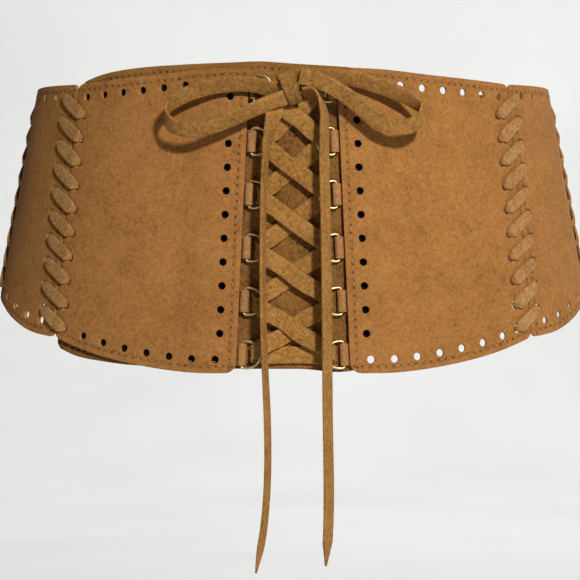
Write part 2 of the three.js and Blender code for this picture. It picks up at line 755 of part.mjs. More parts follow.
// One turn of the front lace round a ring's arc: places along its middle, each with the direction
// in which the lace runs there and its width up and down
function ringTurn({ side, ring, under, from, to }) {
  const frame = edgeFrame(side, ringLevel(ring));
  const centre = arcReach(laceFold / 2) - foldSetback - laceThickness / 2 + layerRise;
  const leadReach = ringDepth + wireDiameter;
  const first = under ? -1 : 1;
  const spots = [];
  const add = (reach, height, rise, run, climb, width) => {
    const middle = ringPoint(frame, reach, height, rise);
    const ahead = ringPoint(frame, reach + run, height, rise + climb);
    spots.push({ middle, along: ahead.sub(middle).normalize(), up: frame.up, width });
  };
  const leadWidth = (slope) => (slope === 0 ? laceWidth : slantedWidth);
  add(leadReach, from * foldLead, first * layerRise, -1, 0, leadWidth(from));
  for (const degrees of [-90, -30, 30, 90]) {
    const angle = degrees * DEGREE;
    const height = foldShift * Math.abs(Math.sin(angle)) * (angle < 0 ? from : to);
    const rise = -first * layerRise * Math.sin(angle);
    const reach = centre - layerRise * Math.cos(angle);
    add(reach, height, rise, Math.sin(angle), -first * Math.cos(angle), laceFold);
  }
  add(leadReach, to * foldLead, -first * layerRise, 1, 0, leadWidth(to));
  return spots;
}

// Places of the front lace where it crosses the opening, after one turn and before the next
function crossing(turn, next) {
  const level = (ringLevel(turn.ring) + ringLevel(next.ring)) / 2;
  const sideFirst = turn.side;
  if (turn.ring === next.ring) {
    return [sideFirst, -sideFirst].map((side) => {
      return acrossSpot(side * crossingReach, level, underLaceOut, sideFirst, laceWidth);
    });
  }
  const onTop = !next.under;
  const climb = Math.tan(laceSlant * DEGREE) * crossingReach * turn.to;
  const leavesHigh = turn.under && next.under;
  const firstOut = onTop ? overLaceOut : underLaceOut + (leavesHigh ? laceThickness + laceClearance : 0);
  const lastOut = onTop ? overLaceOut : underLaceOut;
  return [
    acrossSpot(sideFirst * crossingReach, level - climb, firstOut, sideFirst, slantedWidth),
    acrossSpot(-sideFirst * crossingReach, level + climb, lastOut, sideFirst, slantedWidth),
  ];
}

function acrossSpot(x, z, out, sideFirst, width) {
  const middle = place(x, z, out);
  const along = upAt(x, z).cross(faceAt(x, z)).multiplyScalar(-sideFirst).normalize();
  return { middle, along, up: upAt(x, z), width };
}

// The front lace: from behind the knot down through the rings and up again to the knot
function frontLace() {
  const spots = [acrossSpot(laceStart, ringLevel(0), underLaceOut, 1, laceWidth)];
  LACE_TURNS.forEach((turn, i) => {
    spots.push(...ringTurn(turn));
    if (i < LACE_TURNS.length - 1) spots.push(...crossing(turn, LACE_TURNS[i + 1]));
  });
  spots.push(acrossSpot(-laceStart, ringLevel(0), overLaceOut, 1, laceWidth));
  return loft(spots.map(({ middle, along, up, width }) => {
    const through = new THREE.Vector3().crossVectors(up, along).normalize();
    return laceSection(middle, up, through, width, laceThickness);
  }));
}

// Point of a bow route: its distance out is measured straight forward from the waist's surface
function routePoint({ x, z, out }) {
  const { halfWidth, halfDepth } = waistAt(z);
  return new THREE.Vector3(x, -halfDepth * Math.sqrt(1 - (x / halfWidth) ** 2) - out - bowLift, z);
}

// Flat lace along a route of chosen points
function freeLace(route) {
  const points = route.map(routePoint);
  const sections = points.map((point, i) => {
    const before = points[Math.max(i - 1, 0)];
    const after = points[Math.min(i + 1, points.length - 1)];
    const along = after.clone().sub(before).normalize();
    const across = new THREE.Vector3(...route[i].wide).normalize();
    const through = new THREE.Vector3().crossVectors(along, across).normalize();
    return laceSection(point, across, through, laceWidth, laceThickness);
  });
  return loft(sections);
}

// Knot: a leaning block with rounded edges
function knot() {
  const halfWidth = knotWidth / 2 - knotRounding;
  const halfHeight = knotHeight / 2 - knotRounding;
  const lean = knotLean / 2;
  const shape = new THREE.Shape([
    new THREE.Vector2(-halfWidth + lean, -halfHeight),
    new THREE.Vector2(halfWidth + lean, -halfHeight),
    new THREE.Vector2(halfWidth - lean, halfHeight),
    new THREE.Vector2(-halfWidth - lean, halfHeight),
  ]);
  const geometry = new THREE.ExtrudeGeometry(shape, {
    depth: knotDepth - 2 * knotRounding,
    bevelThickness: knotRounding,
    bevelSize: knotRounding,
    bevelSegments: 2,
  });
  geometry.rotateX(Math.PI / 2);
  const back = place(0, knotCentre.z, knotOut + knotRounding);
  geometry.translate(knotCentre.x, back.y, knotCentre.z);
  return geometry;
}

const seams = {};
for (const [name, side] of [['left', -1], ['right', 1]]) {
  seams[`front_${name}`] = {
    side,
    at: frontSeam,
    top: frontWhipTop,
    bottom: frontWhipBottom,
    stitches: frontWhipStitches,
    underPanel: side < 0,
  };
  seams[`back_${name}`] = {
    side,
    at: backSeam,
    top: backWhipTop,
    bottom: backWhipBottom,
    stitches: backWhipStitches,
    underPanel: false,
  };
}

const belt = new THREE.Group();
function addPiece(name, geometry, look) {
  const piece = new THREE.Mesh(geometry, new THREE.MeshStandardMaterial(look));
  piece.name = name;
  belt.add(piece);
}

for (const [name, side] of [['left', -1], ['right', 1]]) {
  const front = frontPanel(side);
  addPiece(`front_panel_${name}`, cut(wall(front), [
    ...frontColumn(side),
    ...edgeRow(front, 'top', punchFromTop, topRowFromFront, topRowFromSeam, punchPitch),
    ...edgeRow(front, 'bottom', punchFromBottom, bottomRowFromFront, bottomRowFromSeam, punchPitch),
    ...whipDrills(seams[`front_${name}`], 'before'),
  ]), SUEDE);
  addPiece(`side_panel_${name}`, cut(wall(sidePanel(side)), [
    ...whipDrills(seams[`front_${name}`], 'behind'),
    ...whipDrills(seams[`back_${name}`], 'before'),
  ]), SUEDE);
}
addPiece('back_panel', cut(wall(backPanel), [
  ...whipDrills(seams.back_left, 'behind'),
  ...whipDrills(seams.back_right, 'behind'),
]), SUEDE);
addPiece('under_panel', cut(wall(underPanel), whipDrills(seams.front_left, 'before')), SUEDE_SHADE);

for (const [name, seam] of Object.entries(seams)) {
  addPiece(`whip_lace_${name}`, whipLace(seam), LACE);
}

for (const [name, side] of [['left', -1], ['right', 1]]) {
  for (let ring = 0; ring < ringPairs; ring += 1) {
    addPiece(`ring_tab_${name}_${ring + 1}`, tab(side, ringLevel(ring)), SUEDE);
    addPiece(`d_ring_${name}_${ring + 1}`, dRing(side, ringLevel(ring)), BRASS);
  }
}

addPiece('front_lace', frontLace(), LACE);
addPiece('bow_knot', knot(), LACE);
addPiece('bow_loop_left', freeLace(LEFT_LOOP), LACE);
addPiece('bow_loop_right', freeLace(RIGHT_LOOP), LACE);
addPiece('lace_end_left', freeLace(LEFT_END), LACE);
addPiece('lace_end_right', freeLace(RIGHT_END), LACE);

export default belt;
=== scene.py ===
# %% [markdown]
# # A suede corset belt, modelled piece by piece
#
# The belt is five suede panels whipped together round the waist, an under panel behind the front
# opening, a flat lace crossed through twelve D-rings and tied in a bow. The CAD model gives the
# sizes and places; this script builds each piece again the way it is cut, bent, sewn or threaded.
# Sizes are in millimetres until a point is put into a mesh, which is in metres.

# %% Tools and the CAD frame
import functools
import math
import random

import bmesh
import bpy
import numpy as np
from mathutils import Matrix, Vector


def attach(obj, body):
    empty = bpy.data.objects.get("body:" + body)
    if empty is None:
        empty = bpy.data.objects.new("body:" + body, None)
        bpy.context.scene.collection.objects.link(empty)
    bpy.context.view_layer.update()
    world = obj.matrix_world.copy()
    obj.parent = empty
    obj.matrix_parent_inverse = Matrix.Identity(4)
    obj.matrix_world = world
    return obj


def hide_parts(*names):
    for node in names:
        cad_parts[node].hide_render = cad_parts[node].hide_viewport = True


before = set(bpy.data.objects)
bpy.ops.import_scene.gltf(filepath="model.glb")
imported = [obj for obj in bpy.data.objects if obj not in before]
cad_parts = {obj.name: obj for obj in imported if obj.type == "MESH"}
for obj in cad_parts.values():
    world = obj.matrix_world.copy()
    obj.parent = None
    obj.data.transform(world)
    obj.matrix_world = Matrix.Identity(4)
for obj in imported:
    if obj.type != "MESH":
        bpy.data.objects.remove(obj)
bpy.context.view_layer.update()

MM = 0.001
random.seed(7)

# %% [markdown]
# ## Camera
#
# The picture was taken from straight in front, a little above the middle of the belt, from about
# a metre and a half away. A camera that stays level and is shifted down keeps the hanging lace
# ends upright, as they are in the picture.

# %% Camera
PHOTO = 580
FOCAL_PIXELS = 3067
AXIS_PIXEL = (293, 199)
SENSOR = 36.0

camera_data = bpy.data.cameras.new("camera")
camera_data.sensor_width = SENSOR
camera_data.lens = FOCAL_PIXELS / PHOTO * SENSOR
camera_data.shift_x = (PHOTO / 2 - AXIS_PIXEL[0]) / PHOTO
camera_data.shift_y = (AXIS_PIXEL[1] - PHOTO / 2) / PHOTO
camera_data.clip_start = 0.01
camera = bpy.data.objects.new("camera", camera_data)
camera.location = (0, -1.492, 0.010)
camera.rotation_euler = (math.radians(90), 0, 0)
bpy.context.scene.collection.objects.link(camera)
bpy.context.scene.camera = camera
print("lens in mm:", round(camera_data.lens, 1))

# %% [markdown]
# ## Shape of the waist
#
# The belt takes the shape of the waist it is pulled round: an oval that widens towards the hips.
# A place on it is a distance round the belt from the front, a height, and a distance out from the
# skin. Suede doesn't stretch much, so lengths are measured round the outer face of the panels.

# %% Shape of the waist
FRONT_TOP, FRONT_BOTTOM = 70.4, -69.3
SIDE_TOP, SIDE_BOTTOM = 63.8, -54.5
BACK_TOP, BACK_BOTTOM = 62.5, -37.0
WAIST_HALF, HIP_HALF, FLARE_SWELL = (118.6, 84.0), (144.0, 94.0), 0.04
PANEL_INNER, PANEL_THICKNESS, UNDER_THICKNESS = 1.95, 1.8, 1.6
PANEL_OUTER = PANEL_INNER + PANEL_THICKNESS
DEGREES = np.radians(np.arange(361))


def between(z, at_top, at_bottom):
    return at_top + (FRONT_TOP - z) / (FRONT_TOP - FRONT_BOTTOM) * (at_bottom - at_top)


@functools.lru_cache(maxsize=None)
def oval(z):
    """Half sizes of the oval at a height, and the lengths round the belt up to each degree."""
    down = min(max((FRONT_TOP - z) / (FRONT_TOP - FRONT_BOTTOM), 0), 1)
    flare = down + FLARE_SWELL * down * (1 - down)
    wide, deep = (low + (high - low) * flare for low, high in zip(WAIST_HALF, HIP_HALF))
    middles = DEGREES[:-1] + math.radians(0.5)
    steps = np.hypot((wide + PANEL_OUTER) * np.cos(middles), (deep + PANEL_OUTER) * np.sin(middles))
    return wide, deep, np.concatenate(([0], np.cumsum(steps * math.radians(1))))


def place(s, z, out):
    """Point at a distance round the belt, a height and a distance out from the waist."""
    wide, deep, lengths = oval(z)
    angle = math.copysign(float(np.interp(abs(s), lengths, DEGREES)), s)
    normal = Vector((math.sin(angle) / wide, -math.cos(angle) / deep, 0)).normalized()
    return Vector((wide * math.sin(angle), -deep * math.cos(angle), z)) + normal * out


def up_at(s, z):
    return (place(s, z + 1, 0) - place(s, z - 1, 0)).normalized()


def face_at(s, z):
    """Direction straight out of the belt's leaning surface."""
    return (place(s + 1, z, 0) - place(s - 1, z, 0)).cross(up_at(s, z)).normalized()


def through_point(s, z, out):
    return place(s, z, PANEL_OUTER / 2) + face_at(s, z) * (out - PANEL_OUTER / 2)


def opening(z):
    return between(z, 40, 52.6) / 2


def front_seam(z):
    return opening(z) + between(z, 90.6, 94.5)


def back_seam(z):
    return front_seam(z) + between(z, 65, 67)


def girth(z):
    return float(oval(z)[2][-1])


print("girth at the top and at the bottom:", round(girth(FRONT_TOP)), round(girth(FRONT_BOTTOM)))

# %% [markdown]
# ## Making a mesh into a piece
#
# Every piece gets its name, its materials and its place in the CAD frame in the same way. Edges
# that turn sharply stay crisp and the rest is shaded smooth.

# %% Making a mesh into a piece
CRISP = math.radians(42)


def piece(name, bm, materials, nodes):
    """Makes an object of a bmesh whose points are in metres; its name has _ for the spaces."""
    name = name.replace(" ", "_")
    bmesh.ops.recalc_face_normals(bm, faces=bm.faces)
    for face in bm.faces:
        face.smooth = True
    for edge in bm.edges:
        edge.smooth = len(edge.link_faces) == 2 and edge.calc_face_angle(0) < CRISP
    mesh = bpy.data.meshes.new(name)
    bm.to_mesh(mesh)
    bm.free()
    for material in materials:
        mesh.materials.append(material)
    obj = bpy.data.objects.new(name, mesh)
    bpy.context.scene.collection.objects.link(obj)
    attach(obj, "root")
    if nodes:
        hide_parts(*nodes)
    return obj


# %% [markdown]
# ## Materials
#
# Suede is the flesh side of a split hide, buffed until short fibres stand up. To the eye it is
# dull, soft at the edges where the fibres catch the light, and mottled where they lie in
# different directions. Its cut edges are paler and rougher. The rings are brass wire that has
# gone dull brown in places. Patterns are sized by what they are: fibres of a few tenths of a
# millimetre, mottling of one to two centimetres.

# %% Materials: helpers
def srgb(code):
    """Linear colour of an sRGB hex code."""
    parts = [int(code[i : i + 2], 16) / 255 for i in (1, 3, 5)]
    return [p / 12.92 if p <= 0.04045 else ((p + 0.055) / 1.055) ** 2.4 for p in parts] + [1]


def add(tree, kind, inputs=(), **settings):
    """Adds a node, sets its properties, and sets or links its inputs by name or number."""
    node = tree.nodes.new(kind)
    for name, value in settings.items():
        setattr(node, name, value)
    for key, value in dict(inputs).items():
        if isinstance(value, bpy.types.NodeSocket):
            tree.links.new(value, node.inputs[key])
        else:
            node.inputs[key].default_value = value
    return node


def maths(tree, operation, *values):
    return add(tree, "ShaderNodeMath", dict(enumerate(values)), operation=operation).outputs[0]


def ramp(tree, factor, stops):
    node = add(tree, "ShaderNodeValToRGB", {"Fac": factor})
    node.color_ramp.elements.remove(node.color_ramp.elements[1])
    for i, (position, code) in enumerate(stops):
        element = node.color_ramp.elements[0] if i == 0 else node.color_ramp.elements.new(position)
        element.position, element.color = position, srgb(code)
    return node.outputs[0]


def material(name):
    made = bpy.data.materials.new(name)
    made.use_nodes = True
    tree = made.node_tree
    tree.nodes.clear()
    surface = add(tree, "ShaderNodeBsdfPrincipled")
    output = add(tree, "ShaderNodeOutputMaterial")
    tree.links.new(surface.outputs[0], output.inputs["Surface"])
    return made, tree, surface


def noise(tree, coordinates, size, detail=2.0, distortion=0.0):
    """Noise whose blotches are about size millimetres across."""
    settings = {"Vector": coordinates, "Scale": 1 / (size * MM), "Detail": detail, "Distortion": distortion}
    return add(tree, "ShaderNodeTexNoise", settings).outputs[0]


def weigh(tree, start, *pairs):
    """Start plus each value, less its middle of a half, times its weight."""
    total = start
    for value, weight in pairs:
        part = maths(tree, "MULTIPLY", maths(tree, "SUBTRACT", value, 0.5), weight)
        total = maths(tree, "ADD", part, total)
    return total


# %% [markdown]
# ## Suede
#
# One recipe serves every suede piece, with its own three colours. A panel has rows of sewing: the
# needle leaves a small hole every few millimetres and the thread pulls the suede down into a
# shallow groove. Those rows follow each edge, so the mesh carries the distance from each edge and
# the material draws the holes and the groove from it, as dents and as painted shade inside them.

# %% Suede
ROW_INSET, STITCH_PITCH = 3.1, 3.6


def sewing(tree):
    """Needle holes and grooves along the edges: two masks from 0 to 1."""
    read = lambda name: add(tree, "ShaderNodeAttribute", attribute_name=name).outputs["Fac"]
    holes, groove = 0.0, 0.0
    for edge, run in (("from_top", "along"), ("from_bottom", "along"), ("from_front", "height")):
        away = maths(tree, "SUBTRACT", read(edge), ROW_INSET)
        steps = maths(tree, "DIVIDE", read(run), STITCH_PITCH)
        beside = maths(tree, "MULTIPLY", maths(tree, "SUBTRACT", maths(tree, "FRACT", steps), 0.5), STITCH_PITCH)
        square = maths(tree, "ADD", maths(tree, "MULTIPLY", away, away), maths(tree, "MULTIPLY", beside, beside))
        hole = maths(tree, "SUBTRACT", 1.0, maths(tree, "DIVIDE", square, 0.45))
        dip = maths(tree, "SUBTRACT", 1.0, maths(tree, "DIVIDE", maths(tree, "MULTIPLY", away, away), 1.3))
        holes = maths(tree, "MAXIMUM", hole, holes)
        groove = maths(tree, "MAXIMUM", dip, groove)
    return holes, groove


def suede(name, dark, middle, light, sewn=False, nap=1.0, painted_shade_behind=False):
    made, tree, surface = material(name)
    where = add(tree, "ShaderNodeTexCoord").outputs["Object"]
    fibre = noise(tree, where, 0.55, 3)
    grain = noise(tree, where, 1.6, 2, 0.4)
    smear = noise(tree, where, 5.5, 3, 1.2)
    mottle = noise(tree, where, 17, 2, 0.6)
    tone = weigh(tree, 0.5, (fibre, 0.75 * nap), (grain, 0.6 * nap), (smear, 0.3), (mottle, 0.32))
    relief = weigh(tree, 0.0, (fibre, 0.22), (grain, 0.3), (smear, 0.35))
    if sewn:
        holes, groove = sewing(tree)
        # Painted shade: the groove and the needle holes are darkened, where shade falls inside them.
        tone = maths(tree, "SUBTRACT", tone, maths(tree, "MULTIPLY", groove, 0.12))
        tone = maths(tree, "SUBTRACT", tone, maths(tree, "MULTIPLY", holes, 0.28))
        relief = maths(tree, "SUBTRACT", relief, maths(tree, "MULTIPLY", groove, 0.6))
        relief = maths(tree, "SUBTRACT", relief, maths(tree, "MULTIPLY", holes, 1.0))
    # Painted shade: the under panel is darkened where the front panels lie over it and a little down the lacing, where
    # shade falls, down to a near-black darkest colour.
    if painted_shade_behind:
        painted_shade = add(tree, "ShaderNodeAttribute", attribute_name="painted_shade").outputs["Fac"]
        tone = maths(tree, "SUBTRACT", tone, maths(tree, "MULTIPLY", painted_shade, 1.4))
    deepest = "#120804" if painted_shade_behind else "#2f1a0b"
    colour = ramp(tree, tone, [(0.0, deepest), (0.2, dark), (0.5, middle), (0.85, light)])
    tree.links.new(colour, surface.inputs["Base Color"])
    bump = add(tree, "ShaderNodeBump", {"Strength": 0.5, "Distance": 0.35 * MM, "Height": relief})
    tree.links.new(bump.outputs[0], surface.inputs["Normal"])
    surface.inputs["Roughness"].default_value = 0.93
    surface.inputs["Specular IOR Level"].default_value = 0.15
    surface.inputs["Sheen Weight"].default_value = 0.12
    surface.inputs["Sheen Roughness"].default_value = 0.55
    surface.inputs["Sheen Tint"].default_value = srgb("#d9a877")
    return made


PANEL_SUEDE = suede("suede, panels", "#7c5026", "#a06c37", "#b8824b", sewn=True)
# The under panel is a darker copy of the panel suede, painted shade of the opening behind the front panels, and it also
# takes the painted shade mark.
UNDER_SUEDE = suede("suede, under panel", "#6d4722", "#92652f", "#a97942", sewn=True, painted_shade_behind=True)
EDGE_SUEDE = suede("suede, cut edges", "#805528", "#ab7b44", "#c79a66", nap=1.6)
TAB_SUEDE = suede("suede, ring tabs", "#80542c", "#a67646", "#c0915f")
LACE_SUEDE = suede("suede, lace", "#6f4a1c", "#9b6d34", "#b98a4e", nap=1.3)
SEAM_SUEDE = suede("suede, seam lace", "#7d5630", "#a47745", "#c0955f", nap=1.2)
# The knot's suede is a darker copy of the lace suede: painted shade on the knot.
KNOT_SHADED_SUEDE = suede("suede, knot, painted shade", "#604018", "#8a602c", "#a97d44", nap=1.3)

# %% [markdown]
# ## Brass and thread
#
# The wire of the rings is brass with an antique finish: it mirrors the studio weakly and its
# brown film is patchy, so both colour and roughness vary along it. The thread is twisted
# polyester in the suede's colour, a little paler and with a faint shine.

# %% Brass and thread
BRASS, tree, surface = material("brass, antique")
where = add(tree, "ShaderNodeTexCoord").outputs["Object"]
film = weigh(tree, 0.5, (noise(tree, where, 2.2, 3, 0.8), 0.9), (noise(tree, where, 0.4, 2), 0.4))
tone = ramp(tree, film, [(0.2, "#a88c56"), (0.5, "#e0cc94"), (0.8, "#f4e8c2")])
tree.links.new(tone, surface.inputs["Base Color"])
rough = maths(tree, "SUBTRACT", 0.58, maths(tree, "MULTIPLY", film, 0.3))
tree.links.new(rough, surface.inputs["Roughness"])
surface.inputs["Metallic"].default_value = 1.0

THREAD, tree, surface = material("thread")
where = add(tree, "ShaderNodeTexCoord").outputs["Object"]
twist = weigh(tree, 0.5, (noise(tree, where, 0.35, 2, 1.0), 0.8), (noise(tree, where, 9, 2), 0.4))
tone = ramp(tree, twist, [(0.2, "#7c5229"), (0.5, "#a4713c"), (0.8, "#bd8a52")])
tree.links.new(tone, surface.inputs["Base Color"])
surface.inputs["Roughness"].default_value = 0.6
print("materials:", [m.name for m in bpy.data.materials])

# %% [markdown]
# ## Cutting patterns
#
# Each panel is cut flat from a pattern. Its ends are straight seams; its top and bottom edges
# curve, given here as heights at a few shares of the way across. Corners are rounded with the
# knife. Rows of round holes are punched along the edges, and larger ones where lace whips a seam.

# %% Cutting patterns
SHARES = (0, 0.25, 0.5, 0.75, 1)
UNDER_SHARES = (0, 0.076, 0.152, 0.257, 0.409, 0.571, 0.666, 0.77, 0.951, 1)


def curve_through(xs, ys, at):
    """Smooth curve through a table, with the slopes taken from the neighbours."""
    last = len(xs) - 1
    slope = lambda i: (ys[min(i + 1, last)] - ys[max(i - 1, 0)]) / (xs[min(i + 1, last)] - xs[max(i - 1, 0)])
    i = max(k for k in range(last) if k == 0 or at > xs[k])
    step, rise = xs[i + 1] - xs[i], ys[i + 1] - ys[i]
    t, start, end = (at - xs[i]) / step, slope(i) * step, slope(i + 1) * step
    return ys[i] + t * (start + t * (3 * rise - 2 * start - end + t * (start + end - 2 * rise)))


def edge(first, last, xs, ys):
    return lambda share: first + (last - first) * curve_through(xs, ys, share)


def ease(t):
    """Smooth step from 0 to 1."""
    t = min(max(t, 0), 1)
    return t * t * (3 - 2 * t)


def lift(from_front):
    """The doubled edge beside the opening holds the front panel off the tabs."""
    return 1.9 * (1 - ease((from_front - 13) / 20))


def front_pattern(side):
    return {
        "start": lambda z: side * opening(z),
        "end": lambda z: side * (front_seam(z) - 0.4),
        "top": edge(FRONT_TOP, SIDE_TOP, SHARES, (0, 0.13, 0.46, 0.73, 1)),
        "bottom": edge(FRONT_BOTTOM, SIDE_BOTTOM, SHARES, (0, 0.02, 0.21, 0.53, 1)),
        "inner": lambda s, z: PANEL_INNER + lift(abs(s) - opening(z)),
        "thickness": PANEL_THICKNESS,
        "corners": (5, 3),
    }


def side_pattern(side):
    return {
        "start": lambda z: side * (front_seam(z) + 0.4),
        "end": lambda z: side * (back_seam(z) - 0.4),
        "top": edge(SIDE_TOP, BACK_TOP, SHARES, (0, 0.05, 0.2, 0.6, 1)),
        "bottom": edge(SIDE_BOTTOM, BACK_BOTTOM, SHARES, (0, 0.14, 0.45, 0.8, 1)),
        "inner": lambda s, z: PANEL_INNER,
        "thickness": PANEL_THICKNESS,
        "corners": (3, 3),
    }


BACK = {
    "start": lambda z: back_seam(z) + 0.4,
    "end": lambda z: girth(z) - back_seam(z) - 0.4,
    "top": lambda share: BACK_TOP,
    "bottom": lambda share: BACK_BOTTOM,
    "inner": lambda s, z: PANEL_INNER,
    "thickness": PANEL_THICKNESS,
    "corners": (3, 3),
}
UNDER = {
    "start": lambda z: -(front_seam(z) - 0.4),
    "end": lambda z: opening(z) + 12.6,
    "top": edge(73.2, 64.7, UNDER_SHARES, (1, 0.64, 0.42, 0.25, 0.13, 0.05, 0, 0.12, 0.3, 0.36)),
    "bottom": edge(-67.4, -59.0, UNDER_SHARES, (1, 0.54, 0.33, 0.14, 0.04, 0, 0, 0, 0, 1.5)),
    "inner": lambda s, z: 0.0,
    "thickness": UNDER_THICKNESS,
    "corners": (3, 7),
}


def width_at(pattern, z=0.0):
    return abs(pattern["end"](z) - pattern["start"](z))


def round_at(pattern, share, z):
    return pattern["start"](z) + (pattern["end"](z) - pattern["start"](z)) * share


# %% [markdown]
# ## Hole rows
#
# The punch leaves holes three and a half millimetres wide, about eleven apart. On a front panel
# they run along the top, down beside the opening and along the bottom. The lace holes of a
# seam come in pairs: a high one on the panel behind the seam and a low one on the panel before it.

# %% Hole rows
PUNCH_RADIUS, WHIP_HOLE_RADIUS = 1.75, 2.0
SEAMS = {
    f"{where} {name}": {"side": side, "at": at, "top": top, "bottom": bottom, "count": count}
    for name, side in (("left", -1), ("right", 1))
    for where, at, top, bottom, count in (("front", front_seam, 58.5, -50.4, 10), ("back", back_seam, 56.5, -31.5, 9))
}
WHIP_DROP, WHIP_FROM_SEAM = 9.5, 5.5
# the front seams' holes on one side stand further off: behind the left seam, before the right one
SEAMS["front left"]["further"] = (4.0, 0.0)
SEAMS["front right"]["further"] = (0.0, 3.0)


def edge_row(pattern, which, inset, from_start, from_end, pitch):
    """Places of holes along the top or bottom edge, as shares across and heights."""
    length = width_at(pattern) - from_start - from_end
    gaps = max(round(length / pitch), 1)
    shares = [(from_start + length * i / gaps) / width_at(pattern) for i in range(gaps + 1)]
    down = -inset if which == "top" else inset
    return [(share, pattern[which](share) + down, PUNCH_RADIUS) for share in shares]


def opening_column(pattern):
    high, low = FRONT_TOP - 13.4, FRONT_BOTTOM + 18
    gaps = round((high - low) / 10.9)
    heights = [high - (high - low) * i / gaps for i in range(gaps + 1)]
    return [(8.2 / width_at(pattern, z), z, PUNCH_RADIUS) for z in heights]


def whip_pairs(seam):
    """Each stitch's hole behind the seam and hole before it, as places round the belt and heights."""
    lowest = seam["bottom"] + WHIP_DROP
    pitch = (seam["top"] - lowest) / (seam["count"] - 1)
    pairs = []
    more_behind, more_before = seam.get("further", (0.0, 0.0))
    for i in range(seam["count"]):
        high = seam["top"] - pitch * i
        low = high - WHIP_DROP
        behind = seam["side"] * (seam["at"](high) + WHIP_FROM_SEAM + more_behind)
        before = seam["side"] * (seam["at"](low) - WHIP_FROM_SEAM - more_before)
        pairs.append(((behind, high), (before, low)))
    return pairs


def whip_holes(pattern, seam, which):
    holes = []
    for pair in whip_pairs(SEAMS[seam]):
        s, z = pair[which]
        start, end = pattern["start"](z), pattern["end"](z)
        if start > 0 > s:
            s += girth(z)
        holes.append(((s - start) / (end - start), z, WHIP_HOLE_RADIUS))
    return holes


print("lace stitches:", {name: seam["count"] for name, seam in SEAMS.items()})

# %% [markdown]
# ## Cutting and bending a panel
#
# The pattern is drawn as a flat curve with its holes, given the suede's thickness with a slightly
# rounded edge, and cut across into narrow strips so that it can bend. Bending puts every point at
# its place round the waist. A few tenths of a millimetre of slow waves keep the wall from
# looking like sheet metal.

# %% Cutting and bending a panel
EDGE_ROUND = 0.32
CUT_ACROSS, CUT_UP = 4.4, 6.5


def outline_of(pattern):
    """Points round the flat pattern, with its corners rounded."""
    width = width_at(pattern)
    first, last = pattern["corners"]
    turn = [math.radians(15 * k) for k in range(6)]
    ends = [first * (1 - math.cos(t)) for t in turn], [width - last * (1 - math.cos(t)) for t in turn]
    count = round((width - first - last) / 3)
    across = ends[0] + [first + (width - first - last) * i / count for i in range(count + 1)] + ends[1][::-1]
    low, high = [], []
    for x in across:
        radius = first if x < width / 2 else last
        inside = max(radius - min(x, width - x), 0)
        rounding = radius - math.sqrt(radius**2 - inside**2)
        low.append((x, pattern["bottom"](x / width) + rounding))
        high.append((x, pattern["top"](x / width) - rounding))
    return low + high[::-1]


def circle_of(pattern, share, z, radius, count=16):
    x = share * width_at(pattern)
    turns = [2 * math.pi * k / count for k in range(count)]
    return [(x + radius * math.cos(t), z + radius * math.sin(t)) for t in turns]


def cut_flat(name, pattern, holes):
    """A flat panel of its real thickness as a bmesh, in millimetres, x along and y up."""
    curve = bpy.data.curves.new(name, "CURVE")
    curve.dimensions, curve.fill_mode = "2D", "BOTH"
    curve.extrude = pattern["thickness"] / 2 - EDGE_ROUND
    curve.bevel_depth, curve.bevel_resolution, curve.offset = EDGE_ROUND, 1, -EDGE_ROUND
    for points in [outline_of(pattern)] + [circle_of(pattern, *hole) for hole in holes]:
        spline = curve.splines.new("POLY")
        spline.points.add(len(points) - 1)
        for spot, (x, y) in zip(spline.points, points):
            spot.co = (x, y, 0, 1)
        spline.use_cyclic_u = True
    holder = bpy.data.objects.new(name, curve)
    bpy.context.scene.collection.objects.link(holder)
    bpy.context.view_layer.update()
    mesh = bpy.data.meshes.new_from_object(holder)
    bm = bmesh.new()
    bm.from_mesh(mesh)
    bpy.data.objects.remove(holder)
    bpy.data.curves.remove(curve)
    bpy.data.meshes.remove(mesh)
    bmesh.ops.remove_doubles(bm, verts=bm.verts, dist=0.01)
    low = min(v.co.y for v in bm.verts)
    high = max(v.co.y for v in bm.verts)
    width = width_at(pattern)
    cuts = [(Vector((width * i / round(width / CUT_ACROSS), 0, 0)), Vector((1, 0, 0)))
            for i in range(1, round(width / CUT_ACROSS))]
    cuts += [(Vector((0, low + (high - low) * i / round((high - low) / CUT_UP), 0)), Vector((0, 1, 0)))
             for i in range(1, round((high - low) / CUT_UP))]
    for spot, direction in cuts:
        everything = bm.verts[:] + bm.edges[:] + bm.faces[:]
        bmesh.ops.bisect_plane(bm, geom=everything, dist=0.001, plane_co=spot, plane_no=direction)
    return bm


def wave(s, z):
    """Slow waves of the suede, the same for the layers that lie on each other."""
    return 0.16 * math.sin(s * 0.055 + 1.1) * math.cos(z * 0.045 + 0.4) + 0.1 * math.sin(s * 0.13 + z * 0.09)


